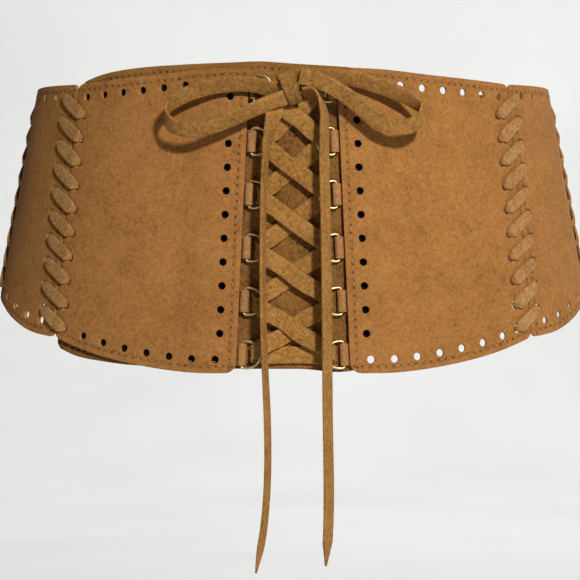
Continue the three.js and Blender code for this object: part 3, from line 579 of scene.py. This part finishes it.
def panel(name, pattern, holes, materials, node):
    """Cuts a panel, marks on it the distances from its edges and its painted shade, and bends it round the waist."""
    bm = cut_flat(name, pattern, holes)
    flat_area = sum(f.calc_area() for f in bm.faces if f.normal.z > 0.9)
    for face in bm.faces:
        face.material_index = 0 if abs(face.normal.z) > 0.9 else 1
    names = ("from_top", "from_bottom", "from_front", "along", "height", "painted_shade")
    layers = [bm.verts.layers.float.new(layer) for layer in names]
    width = width_at(pattern)
    for v in bm.verts:
        x, z, deep = v.co
        share = min(max(x / width, 0), 1)
        s = round_at(pattern, x / width, z)
        from_top = pattern["top"](share) - z
        from_bottom = z - pattern["bottom"](share)
        # Painted shade on the under panel: dark where the front panels cover it, except a bare margin at the bottom,
        # and a little dark down the lacing.
        bare = 2 + 5 * (1 - ease((x - 10) / 25))
        painted_shade_weight = ease((abs(s) - opening(z) - 2) / 3) * ease((from_top - 5) / 2) * ease((from_bottom - bare) / 2)
        painted_shade_weight = max(painted_shade_weight, 0.13 * ease((from_top - 12) / 10))
        marks = (from_top, from_bottom, x, x, z, painted_shade_weight if deep > 0 else 0)
        for layer, value in zip(layers, marks):
            v[layer] = value
        v.co = place(s, z, pattern["inner"](s, z) + pattern["thickness"] / 2 + deep + wave(s, z)) * MM
    made = piece(name, bm, materials, [node])
    heights = [pattern[which](i / 20) for which in ("top", "bottom") for i in range(21)]
    tall = max(heights) - min(heights)
    made["flat"] = (width * MM, tall * MM, flat_area * MM * MM)
    print(name, "is cut", round(width), "by", round(tall), "mm,", len(made.data.polygons), "faces")
    return made


# %% [markdown]
# ## The six walls
#
# Front panels beside the opening, side panels behind them, one long back panel, and the under
# panel that closes the opening. The side and back panels carry rows of holes along both edges.

# %% The six walls
patterns = {}
for name, side in (("left", -1), ("right", 1)):
    front, flank = front_pattern(side), side_pattern(side)
    patterns[f"{name} front panel"], patterns[f"{name} side panel"] = front, flank
    holes = opening_column(front) + edge_row(front, "top", 6.6, 20, 6.5, 10.9)
    holes += edge_row(front, "bottom", 6.2, 9.5, 16.5, 10.9) + whip_holes(front, f"front {name}", 1)
    panel(
        f"{name} front panel", front, holes, [PANEL_SUEDE, EDGE_SUEDE], f"front_panel_{name}")
    first = 9.5 + 1.6 * SEAMS[f"front {name}"]["further"][0]
    holes = edge_row(flank, "top", 5.5, first, 12.5, 11) + edge_row(flank, "bottom", 6.5, 9.5, 12.5, 11)
    holes += whip_holes(flank, f"front {name}", 0) + whip_holes(flank, f"back {name}", 1)
    panel(
        f"{name} side panel", flank, holes, [PANEL_SUEDE, EDGE_SUEDE], f"side_panel_{name}")

holes = edge_row(BACK, "top", 5.5, 12, 12, 13) + edge_row(BACK, "bottom", 6.5, 12, 12, 13)
holes += whip_holes(BACK, "back left", 0) + whip_holes(BACK, "back right", 0)
panel("long back panel", BACK, holes, [PANEL_SUEDE, EDGE_SUEDE], "back_panel")
panel(
    "tongue", UNDER, whip_holes(UNDER, "front left", 1), [UNDER_SUEDE, EDGE_SUEDE], "under_panel")
patterns["long back panel"], patterns["tongue"] = BACK, UNDER

# %% [markdown]
# ## Sewing
#
# A row of short stitches runs three millimetres in from the edges. Each stitch is a small bead of
# thread that lies on the suede and dips at both ends, where the material has its needle holes.

# %% Sewing
STITCH_LENGTH, THREAD_WIDTH, THREAD_HEIGHT = 2.6, 0.55, 0.42


def stitch(bm, pattern, here, there):
    """One stitch between two flat places (share across, height)."""
    ends = []
    for share, z in (here, there):
        s = round_at(pattern, share, z)
        ends.append(place(s, z, pattern["inner"](s, z) + pattern["thickness"] + wave(s, z) + 0.02))
    middle, along = (ends[0] + ends[1]) / 2, (ends[1] - ends[0]).normalized()
    out = face_at(s, z)
    across = out.cross(along).normalized()
    axes = Matrix((along * STITCH_LENGTH / 2, across * THREAD_WIDTH / 2, out * THREAD_HEIGHT / 2)).transposed()
    turn = Matrix.Translation(middle * MM) @ (axes * MM).to_4x4()
    bmesh.ops.create_uvsphere(bm, u_segments=6, v_segments=5, radius=1, matrix=turn)


def sew(name, pattern, rows):
    """Rows of stitches: along the top, the bottom or down the front edge."""
    bm = bmesh.new()
    width = width_at(pattern)
    count = 0
    for row in rows:
        if row == "front":
            share = ROW_INSET / width
            low, high = pattern["bottom"](share) + ROW_INSET, pattern["top"](share) - ROW_INSET
            first, last = math.ceil(low / STITCH_PITCH - 0.5), math.floor(high / STITCH_PITCH - 0.5)
            spots = [(share, (i + 0.5) * STITCH_PITCH) for i in range(first, last + 1)]
        else:
            down = -ROW_INSET if row == "top" else ROW_INSET
            first, last = math.ceil(3 / STITCH_PITCH - 0.5), math.floor((width - 2) / STITCH_PITCH - 0.5)
            shares = [(i + 0.5) * STITCH_PITCH / width for i in range(first, last + 1)]
            spots = [(share, pattern[row](share) + down) for share in shares]
        for here, there in zip(spots, spots[1:]):
            stitch(bm, pattern, here, there)
            count += 1
    print(name, "has", count, "stitches")
    return piece(name, bm, [THREAD], [])


for name, pattern in patterns.items():
    rows = ("top", "bottom", "front") if "front" in name else ("top", "bottom")
    sew(f"stitches {name}", pattern, rows)

# %% [markdown]
# ## Running a strip or a wire
#
# Lace, tabs and rings are all one section carried along a route: a flat strip with rounded edges
# or a round wire. The route is given by a few stops, and a smooth line through them gives the
# stations between. The section is a ring of points that is extruded from station to station.

# %% Running a strip or a wire
def strip_section(width, thickness, cup=0.0):
    """Points round a flat strip with rounded edges, as (across, through)."""
    radius = 0.42 * thickness
    points = []
    for sideways, through, start in ((1, -1, -90), (1, 1, 0), (-1, 1, 90), (-1, -1, 180)):
        for k in range(3):
            turn = math.radians(start + 45 * k)
            points.append((sideways * (width / 2 - radius) + radius * math.cos(turn),
                           through * (thickness / 2 - radius) + radius * math.sin(turn)))
        if sideways == through:
            points += [(part * width * sideways, through * thickness / 2) for part in (0.28, 0, -0.28)]
    return [(a, t + cup * (1 - (2 * a / width) ** 2)) for a, t in points]


def wire_section(diameter, count=10):
    turns = [2 * math.pi * k / count for k in range(count)]
    return [(diameter / 2 * math.cos(t), diameter / 2 * math.sin(t)) for t in turns]


def route_through(stops, steps, closed=False):
    """Smooth stations through stops of (centre, across, width, thickness)."""
    count = len(stops)
    at = lambda i: stops[i % count] if closed else stops[min(max(i, 0), count - 1)]

    def heading(i):
        before, here, after = at(i - 1)[0], at(i)[0], at(i + 1)[0]
        back, on = (here - before).length or 1e-9, (after - here).length or 1e-9
        if (here - before).length < 1e-6:
            return (after - here) / on
        if (after - here).length < 1e-6:
            return (here - before) / back
        return ((here - before) / back * on + (after - here) / on * back) / (back + on)

    stations = []
    for i in range(count if closed else count - 1):
        (p, across_p, *sizes_p), (q, across_q, *sizes_q) = at(i), at(i + 1)
        span = (q - p).length
        pull_p, pull_q = heading(i) * span, heading(i + 1) * span
        for j in range(steps):
            t = j / steps
            centre = (p * (1 + 2 * t) * (1 - t) ** 2 + pull_p * t * (1 - t) ** 2
                      + q * t * t * (3 - 2 * t) + pull_q * t * t * (t - 1))
            sizes = [a + (b - a) * t for a, b in zip(sizes_p, sizes_q)]
            stations.append((centre, across_p.lerp(across_q, t), *sizes))
    return stations if closed else stations + [stops[-1]]


def run(bm, stations, section, closed=False):
    """Extrudes the section from station to station, and closes or caps it."""
    count = len(stations)
    ring = []
    rings = []
    for i, (centre, across, width, thickness) in enumerate(stations):
        before = stations[(i - 1) % count if closed else max(i - 1, 0)][0]
        after = stations[(i + 1) % count if closed else min(i + 1, count - 1)][0]
        along = (after - before).normalized()
        across = (across - along * across.dot(along)).normalized()
        through = along.cross(across)
        spots = [(centre + across * a + through * t) * MM for a, t in section(width, thickness)]
        if not ring:
            made = bmesh.ops.create_circle(bm, cap_ends=False, radius=1, segments=len(spots))["verts"]
            ring = sorted(made, key=lambda v: math.atan2(v.co.y, v.co.x) % (2 * math.pi))
        else:
            loop = [bm.edges.get((a, b)) for a, b in zip(ring, ring[1:] + ring[:1])]
            fresh = set(v for v in bmesh.ops.extrude_edge_only(bm, edges=loop)["geom"] if isinstance(v, bmesh.types.BMVert))
            ring = [next(e.other_vert(v) for e in v.link_edges if e.other_vert(v) in fresh) for v in ring]
        for v, spot in zip(ring, spots):
            v.co = spot
        rings.append(ring)
    loops = [[bm.edges.get((a, b)) for a, b in zip(r, r[1:] + r[:1])] for r in (rings[0], rings[-1])]
    if closed:
        bmesh.ops.bridge_loops(bm, edges=loops[0] + loops[1])
    else:
        for loop in loops:
            bmesh.ops.edgeloop_fill(bm, edges=loop)
    return [centre for centre, *_ in stations]


def lace_section(width, thickness):
    return strip_section(width, thickness, 0.12)


def length_of(points):
    return sum((b - a).length for a, b in zip(points, points[1:]))


# %% [markdown]
# ## Lace whipped through the seams
#
# The lace comes up through a high hole, crosses the seam downwards, goes in at a low hole and
# climbs behind to the next high one. It is pinched where it goes through a hole and opens out
# and bulges where it crosses the seam, which gives the row its leaf shapes.

# %% Lace whipped through the seams
WHIP_THICKNESS, WHIP_CLEARANCE = 1.3, 0.4
# share of the way over the seam, width, and extra height over the panel
WHIP_LEAF = ((0.0, 2.9, -0.2), (0.1, 4.6, 0.1), (0.28, 5.8, 0.4), (0.55, 6.2, 0.5), (0.84, 6.3, 0.35),
             (0.97, 5.9, 0.1), (1.0, 4.4, -0.4))


def whip(bm, seam, under, puff):
    outside = PANEL_OUTER + WHIP_CLEARANCE + WHIP_THICKNESS / 2
    inside = (0 if under else PANEL_INNER) - WHIP_CLEARANCE - WHIP_THICKNESS / 2
    stops = []
    pairs = whip_pairs(seam)
    for i, (behind, before) in enumerate(pairs):
        out_a, out_b = through_point(*behind, outside), through_point(*before, outside)
        face_a, face_b = face_at(*behind), face_at(*before)
        across = (out_b - out_a).cross(face_a).normalized()
        if i == 0:
            stops.append((through_point(*behind, inside), across, 2.6, WHIP_THICKNESS))
        stops.append((through_point(*behind, (inside + outside) / 2), across, 2.6, WHIP_THICKNESS))
        slack = random.uniform(-0.15, 0.2)
        for share, width, rise in WHIP_LEAF:
            height = puff * rise * (1 + slack) - 0.25 * (1 - puff)
            centre = out_a.lerp(out_b, 0.04 + 0.92 * share) + face_a.lerp(face_b, share) * height
            stops.append((centre, across, width * (1 + slack / 3), WHIP_THICKNESS))
        stops.append((through_point(*before, (inside + outside) / 2), across, 2.6, WHIP_THICKNESS))
        if i == len(pairs) - 1:
            stops.append((through_point(*before, inside), across, 2.6, WHIP_THICKNESS))
            break
        inner_b, inner_c = through_point(*before, inside), through_point(*pairs[i + 1][0], inside)
        level = face_b.cross(inner_c - inner_b).normalized()
        stops.append((inner_b.lerp(inner_c, 0.12), level, 2.9, WHIP_THICKNESS))
        stops.append((inner_b.lerp(inner_c, 0.5), level, 4.0, WHIP_THICKNESS))
        stops.append((inner_b.lerp(inner_c, 0.88), level, 2.9, WHIP_THICKNESS))
    return run(bm, route_through(stops, 2), strip_section)


for name, seam in SEAMS.items():
    bm = bmesh.new()
    centres = whip(bm, seam, name == "front left", 1.0 if name.startswith("front") else 0.2)
    piece(f"seam lace {name}", bm, [SEAM_SUEDE], [f"whip_lace_{name.replace(' ', '_')}"])
    print("seam lace", name, "is", round(length_of(centres)), "mm long")

# %% [markdown]
# ## Rings and tabs
#
# A tab is a strip of suede folded round the straight bar of a ring, both its ends sewn under the
# panel's edge. The ring is a piece of wire bent to a D, its joint hidden in the fold. Each pair
# sits a little differently, as hand-set rings do.

# %% Rings and tabs
WIRE, RING_HALF_HEIGHT, RING_CORNER, RING_SHOULDER, RING_DEPTH = 1.2, 6.15, 1.0, 2.2, 8.4
RING_TILT = math.radians(4)
TAB_WALL, TAB_REACH, TAB_TAIL, TAB_HEIGHT = 1.1, 2.4, 7.0, 10.2
EYE_RADIUS = WIRE / 2 + 0.3 + TAB_WALL
EYE_OUT = PANEL_INNER + EYE_RADIUS
RING_LEVELS = [60.5 - 24.3 * k for k in range(6)]


class EdgeFrame:
    """Directions at a front edge: inwards over the opening, out from the waist, and up."""

    def __init__(self, side, z):
        s = side * opening(z)
        above, below = (place(side * opening(z + d), z + d, 0) for d in (1, -1))
        self.up = (above - below).normalized()
        self.inwards = (face_at(s, z).cross(self.up) * side).normalized()
        self.level = (self.up.cross(self.inwards) * side).normalized()
        self.origin = place(s, z, 0)

    def at(self, x, y, w):
        return self.origin + self.inwards * x + self.level * y + self.up * w

    def ring(self, reach, height, rise):
        """Point of the ring's plane, which leans out a little from its bar."""
        x = TAB_REACH + reach * math.cos(RING_TILT) - rise * math.sin(RING_TILT)
        y = EYE_OUT + reach * math.sin(RING_TILT) + rise * math.cos(RING_TILT)
        return self.at(x, y, height)


def arc_reach(height):
    return RING_SHOULDER + (RING_DEPTH - RING_SHOULDER) * math.sqrt(max(1 - (height / RING_HALF_HEIGHT) ** 2, 0))


def tab_stops(edge_frame):
    """Stops of the folded strip: under the panel, round the bar and back under the panel."""
    fold = EYE_RADIUS - TAB_WALL / 2
    flat = [(-TAB_TAIL, PANEL_INNER + 0.3, 0.6), (-2.5, PANEL_INNER + 0.3, 0.6), (0.6, PANEL_INNER + 0.42, 0.85)]
    for degrees in range(-90, 186, 25):
        turn = math.radians(degrees)
        flat.append((TAB_REACH + fold * math.cos(turn), EYE_OUT + fold * math.sin(turn), TAB_WALL))
    flat += [(0.55, PANEL_INNER + 1.05, 0.8), (-0.8, PANEL_INNER + 0.92, 0.6), (-TAB_TAIL, PANEL_INNER + 0.9, 0.6)]
    return [(edge_frame.at(x, y, 0), edge_frame.up, TAB_HEIGHT, thickness) for x, y, thickness in flat]


def ring_stops(edge_frame):
    bar = RING_HALF_HEIGHT - RING_CORNER
    flat = [(0, -bar), (0, -bar / 2), (0, bar / 2), (0, bar), (0.3, RING_HALF_HEIGHT - 0.3), (1, RING_HALF_HEIGHT)]
    for degrees in range(90, -91, -15):
        height = RING_HALF_HEIGHT * math.sin(math.radians(degrees))
        flat.append((arc_reach(height), height))
    flat += [(1, -RING_HALF_HEIGHT), (0.3, -RING_HALF_HEIGHT + 0.3)]
    return [(edge_frame.ring(reach, height, 0), edge_frame.level, WIRE, WIRE) for reach, height in flat]


for name, side in (("left", -1), ("right", 1)):
    for i, z in enumerate(RING_LEVELS, 1):
        edge_frame = EdgeFrame(side, z)
        bm = bmesh.new()
        run(bm, route_through(tab_stops(edge_frame), 2), strip_section)
        piece(f"{name} tab {i}", bm, [TAB_SUEDE], [f"ring_tab_{name}_{i}"])
        bm = bmesh.new()
        run(bm, route_through(ring_stops(edge_frame), 2, True), lambda w, t: wire_section(w), True)
        piece(f"{name} ring {i}", bm, [BRASS], [f"d_ring_{name}_{i}"])
print("rings and tabs:", 2 * len(RING_LEVELS), "of each")

# %% [markdown]
# ## Front lace
#
# One flat lace starts behind the knot, crosses down from ring to ring and comes up again on the
# other side. It folds round the arc of each ring, over or under, and the later strand of each
# crossing lies on the earlier one.

# %% Front lace
LACE_WIDTH, LACE_THICKNESS, LACE_FOLD, LACE_GAP = 8.0, 1.4, 7.0, 0.35
UNDER_LACE = PANEL_INNER + LACE_THICKNESS / 2
OVER_LACE = UNDER_LACE + 2 * (LACE_THICKNESS + LACE_GAP)
FOLD_RISE = WIRE / 2 + 0.3 + LACE_THICKNESS / 2
FOLD_SHIFT, FOLD_LEAD, CROSSING_REACH, SLANT = 1.6, 4.0, 5.0, math.radians(37)
# side, ring, comes underneath, comes from above (1), below (-1) or level (0), goes on likewise
TURNS = (
    (-1, 0, True, 0, -1), (1, 1, False, 1, -1), (-1, 2, True, 1, -1), (1, 3, False, 1, -1),
    (-1, 4, True, 1, -1), (1, 5, False, 1, 0), (-1, 5, True, 0, 1), (1, 4, True, -1, 1),
    (-1, 3, False, -1, 1), (1, 2, True, -1, 1), (-1, 1, False, -1, 1), (1, 0, True, -1, 0),
)


def turn_stops(side, ring, under, came, goes):
    edge_frame = EdgeFrame(side, RING_LEVELS[ring])
    centre = arc_reach(LACE_FOLD / 2) - 1.75 - LACE_THICKNESS / 2 + FOLD_RISE
    first = -1 if under else 1
    stops = [(RING_DEPTH + WIRE, came * FOLD_LEAD, first * FOLD_RISE, LACE_WIDTH)]
    for degrees in range(-90, 91, 30):
        turn = math.radians(degrees)
        height = FOLD_SHIFT * abs(math.sin(turn)) * (came if turn < 0 else goes)
        stops.append((centre - FOLD_RISE * math.cos(turn), height, -first * FOLD_RISE * math.sin(turn), LACE_FOLD))
    stops.append((RING_DEPTH + WIRE, goes * FOLD_LEAD, -first * FOLD_RISE, LACE_WIDTH))
    return [(edge_frame.ring(x, w, y), edge_frame.up, width, LACE_THICKNESS) for x, w, y, width in stops]


def opening_stop(x, z, out):
    return place(x, z, out), up_at(x, z), LACE_WIDTH, LACE_THICKNESS


def crossing_stops(turn, following):
    side, ring, under, _, goes = turn
    level = (RING_LEVELS[ring] + RING_LEVELS[following[1]]) / 2
    if ring == following[1]:
        return [opening_stop(x, level, UNDER_LACE) for x in (side * CROSSING_REACH, -side * CROSSING_REACH)]
    on_top = not following[2]
    climb = math.tan(SLANT) * CROSSING_REACH * goes
    last = OVER_LACE if on_top else UNDER_LACE
    first = last + (LACE_THICKNESS + LACE_GAP if under and not on_top else 0)
    return [opening_stop(side * CROSSING_REACH, level - climb, first),
            opening_stop(-side * CROSSING_REACH, level + climb, last)]


stops = [opening_stop(2, RING_LEVELS[0], UNDER_LACE)]
for i, turn in enumerate(TURNS):
    stops += turn_stops(*turn)
    if i < len(TURNS) - 1:
        stops += crossing_stops(turn, TURNS[i + 1])
stops.append(opening_stop(-2, RING_LEVELS[0], OVER_LACE))
bm = bmesh.new()
centres = run(bm, route_through(stops, 4), lace_section)
piece("crossed lace", bm, [LACE_SUEDE], ["front_lace"])
print("crossed lace is", round(length_of(centres)), "mm long between its two knot ends")

# %% [markdown]
# ## Bow and hanging ends
#
# Both loops leave the knot's sides, swing out and fold back lower and further forward. The two
# ends fall straight down over the lacing, turned a little on edge, and are cut to a slanting point.
# Each stop has x, height, distance out from the waist, and the direction across the lace.

# %% Bow and hanging ends
LEFT_LOOP = (
    (-3.5, 55.8, 9.9, 0, -0.5, 0.87), (-7.2, 57.9, 10.2, 0, -0.5, 0.87), (-11.4, 60.3, 10.3, 0, -0.5, 0.87),
    (-16, 61.6, 10.4, 0, -0.5, 0.87), (-24, 62.6, 10.6, 0, -0.5, 0.87), (-33, 61.9, 11.4, 0, -0.5, 0.87),
    (-42, 60, 12.6, 0, -0.5, 0.87), (-50, 57, 14, 0.05, -0.52, 0.85), (-55.6, 53.2, 15.6, 0.1, -0.56, 0.82),
    (-58, 48.6, 17.2, 0.15, -0.62, 0.77), (-56.2, 44.4, 18.2, 0.12, -0.62, 0.77), (-51, 41.8, 18.6, 0.08, -0.62, 0.78),
    (-44, 41.3, 18.4, 0.04, -0.62, 0.78), (-36, 43, 17.4, 0, -0.62, 0.78), (-27, 46.6, 16.2, -0.08, -0.6, 0.8),
    (-18, 50.6, 15, -0.12, -0.58, 0.8), (-11, 53.6, 13.6, -0.12, -0.55, 0.83), (-6.2, 55.4, 12.8, -0.12, -0.5, 0.86),
    (-3, 56.4, 12.2, -0.12, -0.5, 0.86),
)
RIGHT_LOOP = (
    (-0.5, 65.2, 9.8, 0, -0.5, 0.87), (2.6, 65.6, 9.8, 0, -0.5, 0.87), (10, 65.8, 9.9, 0, -0.5, 0.87),
    (19, 65.6, 10.2, 0, -0.5, 0.87), (29, 64.6, 10.8, 0, -0.5, 0.87), (38, 61.8, 12, 0, -0.5, 0.87),
    (46.5, 58.9, 13.4, -0.05, -0.52, 0.85), (53.6, 55.4, 15, -0.1, -0.56, 0.82), (58.2, 51.2, 16.8, -0.15, -0.62, 0.77),
    (58.2, 46.8, 18, -0.12, -0.58, 0.8), (54, 43.6, 18.6, -0.06, -0.5, 0.87), (47, 42.8, 18.4, 0.04, -0.45, 0.89),
    (40, 45, 17.6, 0.12, -0.4, 0.91), (33.6, 49.6, 16.8, 0.16, -0.4, 0.9), (27, 55, 16, 0.16, -0.4, 0.9),
    (19, 60.2, 15.2, 0.14, -0.4, 0.9), (11, 64.2, 14.4, 0.1, -0.35, 0.93), (3, 66, 13.4, 0.05, -0.25, 0.97),
)
LEFT_END = (
    (-7.4, 56.2, 8.5, 0.94, 0, -0.34), (-8.4, 51, 9, 0.94, 0.2, -0.28), (-9.8, 44.6, 10.4, 0.72, 0.67, -0.2),
    (-11.4, 38, 11.8, 0.45, 0.88, -0.1), (-12.6, 28, 12.6, 0.28, 0.96, 0), (-13.4, 10, 13, 0.24, 0.97, 0),
    (-13.7, -10, 13, 0.22, 0.98, 0), (-13.7, -32, 13, 0.22, 0.98, 0), (-13.2, -54, 12.8, 0.24, 0.97, 0),
    (-12.4, -72, 12.4, 0.26, 0.97, 0), (-11.7, -88, 12, 0.28, 0.96, 0), (-11.4, -104, 11.6, 0.28, 0.96, 0),
    (-11.8, -122, 11.6, 0.28, 0.96, 0), (-13.4, -140, 11.8, 0.3, 0.95, -0.05), (-16.8, -159, 12.2, 0.32, 0.94, -0.1),
)
RIGHT_END = (
    (4.6, 58.8, 9.3, 0.1, -0.88, 0.45), (8.9, 59.2, 10, 0, -0.92, 0.38), (12.2, 56.2, 11, -0.2, -0.94, 0.25),
    (14, 50.4, 12.6, -0.36, -0.92, 0.1), (14.3, 42, 13.8, -0.46, -0.88, 0.04), (14.2, 28, 14.4, -0.5, -0.86, 0),
    (14.6, 8, 14.6, -0.5, -0.86, 0), (15, -14, 14.6, -0.5, -0.86, 0), (15.3, -38, 14.4, -0.5, -0.86, 0),
    (15.5, -60, 14, -0.5, -0.86, 0), (15.6, -80, 13.4, -0.5, -0.86, 0), (15.9, -100, 12.8, -0.5, -0.86, 0),
    (16.2, -122, 12.2, -0.52, -0.85, 0), (15.9, -140, 11.8, -0.5, -0.86, 0), (14.9, -156, 11.6, -0.5, -0.86, 0),
)
BOW_LIFT, TIP_LENGTH, TIP_UNMEASURED = 0.8, 11.0, 5.0


def free_lace(name, rows, node, pointed):
    """A free part of the lace, run along its stops as a strip."""
    stops = []
    for x, z, out, *across in rows:
        wide, deep, _ = oval(z)
        centre = Vector((x, -deep * math.sqrt(1 - (x / wide) ** 2) - out - BOW_LIFT, z))
        stops.append((centre, Vector(across).normalized(), LACE_WIDTH, LACE_THICKNESS))
    stations = route_through(stops, 6)
    centres = [station[0] for station in stations]
    whole = length_of(centres)
    shaped = []
    for i, (centre, across, width, thickness) in enumerate(stations):
        left = whole - length_of(centres[: i + 1])
        if pointed and left < TIP_LENGTH:
            narrow = (left + 1.2) / (TIP_LENGTH + 1.2)
            width = LACE_WIDTH * narrow
            thickness = LACE_THICKNESS * (0.6 + 0.4 * narrow)
        ripple = 0.35 * math.sin(i * 0.55) * (0.3 if pointed else 1)
        shaped.append((centre, across, width + ripple * 0.5, thickness))
    bm = bmesh.new()
    run(bm, shaped, lace_section)
    obj = piece(name, bm, [LACE_SUEDE], [node])
    if pointed:
        centres = [c for i, c in enumerate(centres) if whole - length_of(centres[: i + 1]) > TIP_UNMEASURED]
    path = [tuple(c * MM) for c in centres]
    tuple(path[0])
    print(name, "is", round(whole), "mm long")
    return obj


free_lace("left bow loop", LEFT_LOOP, "bow_loop_left", False)
free_lace("right bow loop", RIGHT_LOOP, "bow_loop_right", False)
free_lace("left lace end", LEFT_END, "lace_end_left", True)
free_lace("right lace end", RIGHT_END, "lace_end_right", True)

# %% [markdown]
# ## Knot
#
# The knot is the same lace pulled tight: a pinched core of folded layers, and one turn that wraps
# over it from upper left to lower right and holds it together.

# %% Knot
KNOT_CENTRE, KNOT_OUT, KNOT_SLOPE = (-1.5, 60.6), 13.1, 2.4
knot_middle = Vector((KNOT_CENTRE[0], place(0, KNOT_CENTRE[1], KNOT_OUT).y, KNOT_CENTRE[1]))
lean = Vector((-0.42, 0, 1)).normalized()
sideways = Vector((1, 0, 0.42)).normalized()
forward = Vector((0, -1, 0))

bm = bmesh.new()
axes = Matrix((sideways * 4.3, forward * 3.2, lean * 6.2 + forward * 2.1)).transposed()
turn = Matrix.Translation(knot_middle * MM) @ (axes * MM).to_4x4()
bmesh.ops.create_uvsphere(bm, u_segments=28, v_segments=18, radius=1, matrix=turn)
for v in bm.verts:
    spot = v.co / MM - knot_middle
    across, up = spot.dot(sideways), spot.dot(lean)
    v.co += v.co * 0 + (spot.normalized() * 0.3 * math.sin(up * 1.5 + across * 0.5)) * MM

wrap, rim = [], []
for degrees in range(0, 360, 20):
    turn = math.radians(degrees)
    out = 3.6 * math.sin(turn) + KNOT_SLOPE * math.cos(turn)
    centre = knot_middle + lean * (7.1 * math.cos(turn)) + forward * out
    drift = sideways * (0.9 * math.sin(turn) * math.cos(turn))
    wide = 6.6 + 1.5 * math.cos(turn) - 0.6 * abs(math.sin(turn) * math.cos(turn))
    across = (sideways + forward * 0.16).normalized()
    wrap.append((centre + drift, across, wide, 1.35))
    lip = sideways * (wide / 2 - 0.7) + (forward * math.sin(turn) + lean * 0.5 * math.cos(turn)) * 0.75
    rim.append((centre + drift + lip, across, 1.9, 1.5))
run(bm, route_through(wrap, 2, True), lambda w, t: strip_section(w, t, 0.25), True)
run(bm, route_through(rim, 2, True), strip_section, True)
piece("knot", bm, [KNOT_SHADED_SUEDE], ["bow_knot"])
print("knot in mm:", [round(x, 1) for x in knot_middle])

# %% [markdown]
# ## Studio
#
# A pale sweep that is floor and background in one, far enough below the belt to stay plain. The
# main light stands to the right and a little above the camera, big enough for soft shadows with a
# readable edge; a weaker one fills from the right side, and the pale surroundings do the rest.

# %% Studio
FLOOR, SWEEP_START, SWEEP_RADIUS, HALF_WIDTH = -0.32, 1.9, 0.7, 3.6
bm = bmesh.new()
near = bmesh.ops.create_grid(bm, x_segments=1, y_segments=1, size=HALF_WIDTH)["verts"]
for v in near:
    v.co = (v.co.x, SWEEP_START if v.co.y > 0 else -2.5, FLOOR)
bm.edges.ensure_lookup_table()
far = [e for e in bm.edges if all(v.co.y > 0 for v in e.verts)]
turned = bmesh.ops.spin(bm, geom=far, cent=(0, SWEEP_START, FLOOR + SWEEP_RADIUS), axis=(1, 0, 0),
                        angle=math.radians(90), steps=24)["geom_last"]
wall_edges = [e for e in turned if isinstance(e, bmesh.types.BMEdge)]
raised = bmesh.ops.extrude_edge_only(bm, edges=wall_edges)["geom"]
bmesh.ops.translate(bm, vec=(0, 0, 2.2), verts=[v for v in raised if isinstance(v, bmesh.types.BMVert)])
bmesh.ops.recalc_face_normals(bm, faces=bm.faces)
for face in bm.faces:
    face.smooth = True
sweep_mesh = bpy.data.meshes.new("sweep")
bm.to_mesh(sweep_mesh)
bm.free()
PAPER, tree, surface = material("paper sweep")
where = add(tree, "ShaderNodeTexCoord").outputs["Object"]
tree.links.new(ramp(tree, noise(tree, where, 240, 2), [(0.3, "#e2e2e1"), (0.7, "#e9e9e8")]), surface.inputs["Base Color"])
surface.inputs["Roughness"].default_value = 0.9
sweep_mesh.materials.append(PAPER)
sweep = bpy.data.objects.new("sweep", sweep_mesh)
bpy.context.scene.collection.objects.link(sweep)


def light(name, place_at, aim, size, power):
    data = bpy.data.lights.new(name, "AREA")
    data.size, data.energy = size, power
    obj = bpy.data.objects.new(name, data)
    obj.location = place_at
    obj.rotation_euler = (Vector(aim) - Vector(place_at)).to_track_quat("-Z", "Y").to_euler()
    bpy.context.scene.collection.objects.link(obj)
    return obj


lights = [
    light("main light", (0.5, -1.72, 0.86), (0, 0, 0), 0.16, 34),
    light("side light", (1.4, 0.5, 0.3), (0, 0, 0), 0.9, 6.5),
    light("background light", (0.2, 1.4, 1.55), (0.1, 2.5, -0.1), 1.2, 30),
]
world = bpy.data.worlds.new("studio")
world.use_nodes = True
world.node_tree.nodes["Background"].inputs["Color"].default_value = (1, 1, 1, 1)
world.node_tree.nodes["Background"].inputs["Strength"].default_value = 0.04
bpy.context.scene.world = world
bpy.context.scene.view_settings.view_transform = "Standard"
print("lights:", [obj.name for obj in lights])
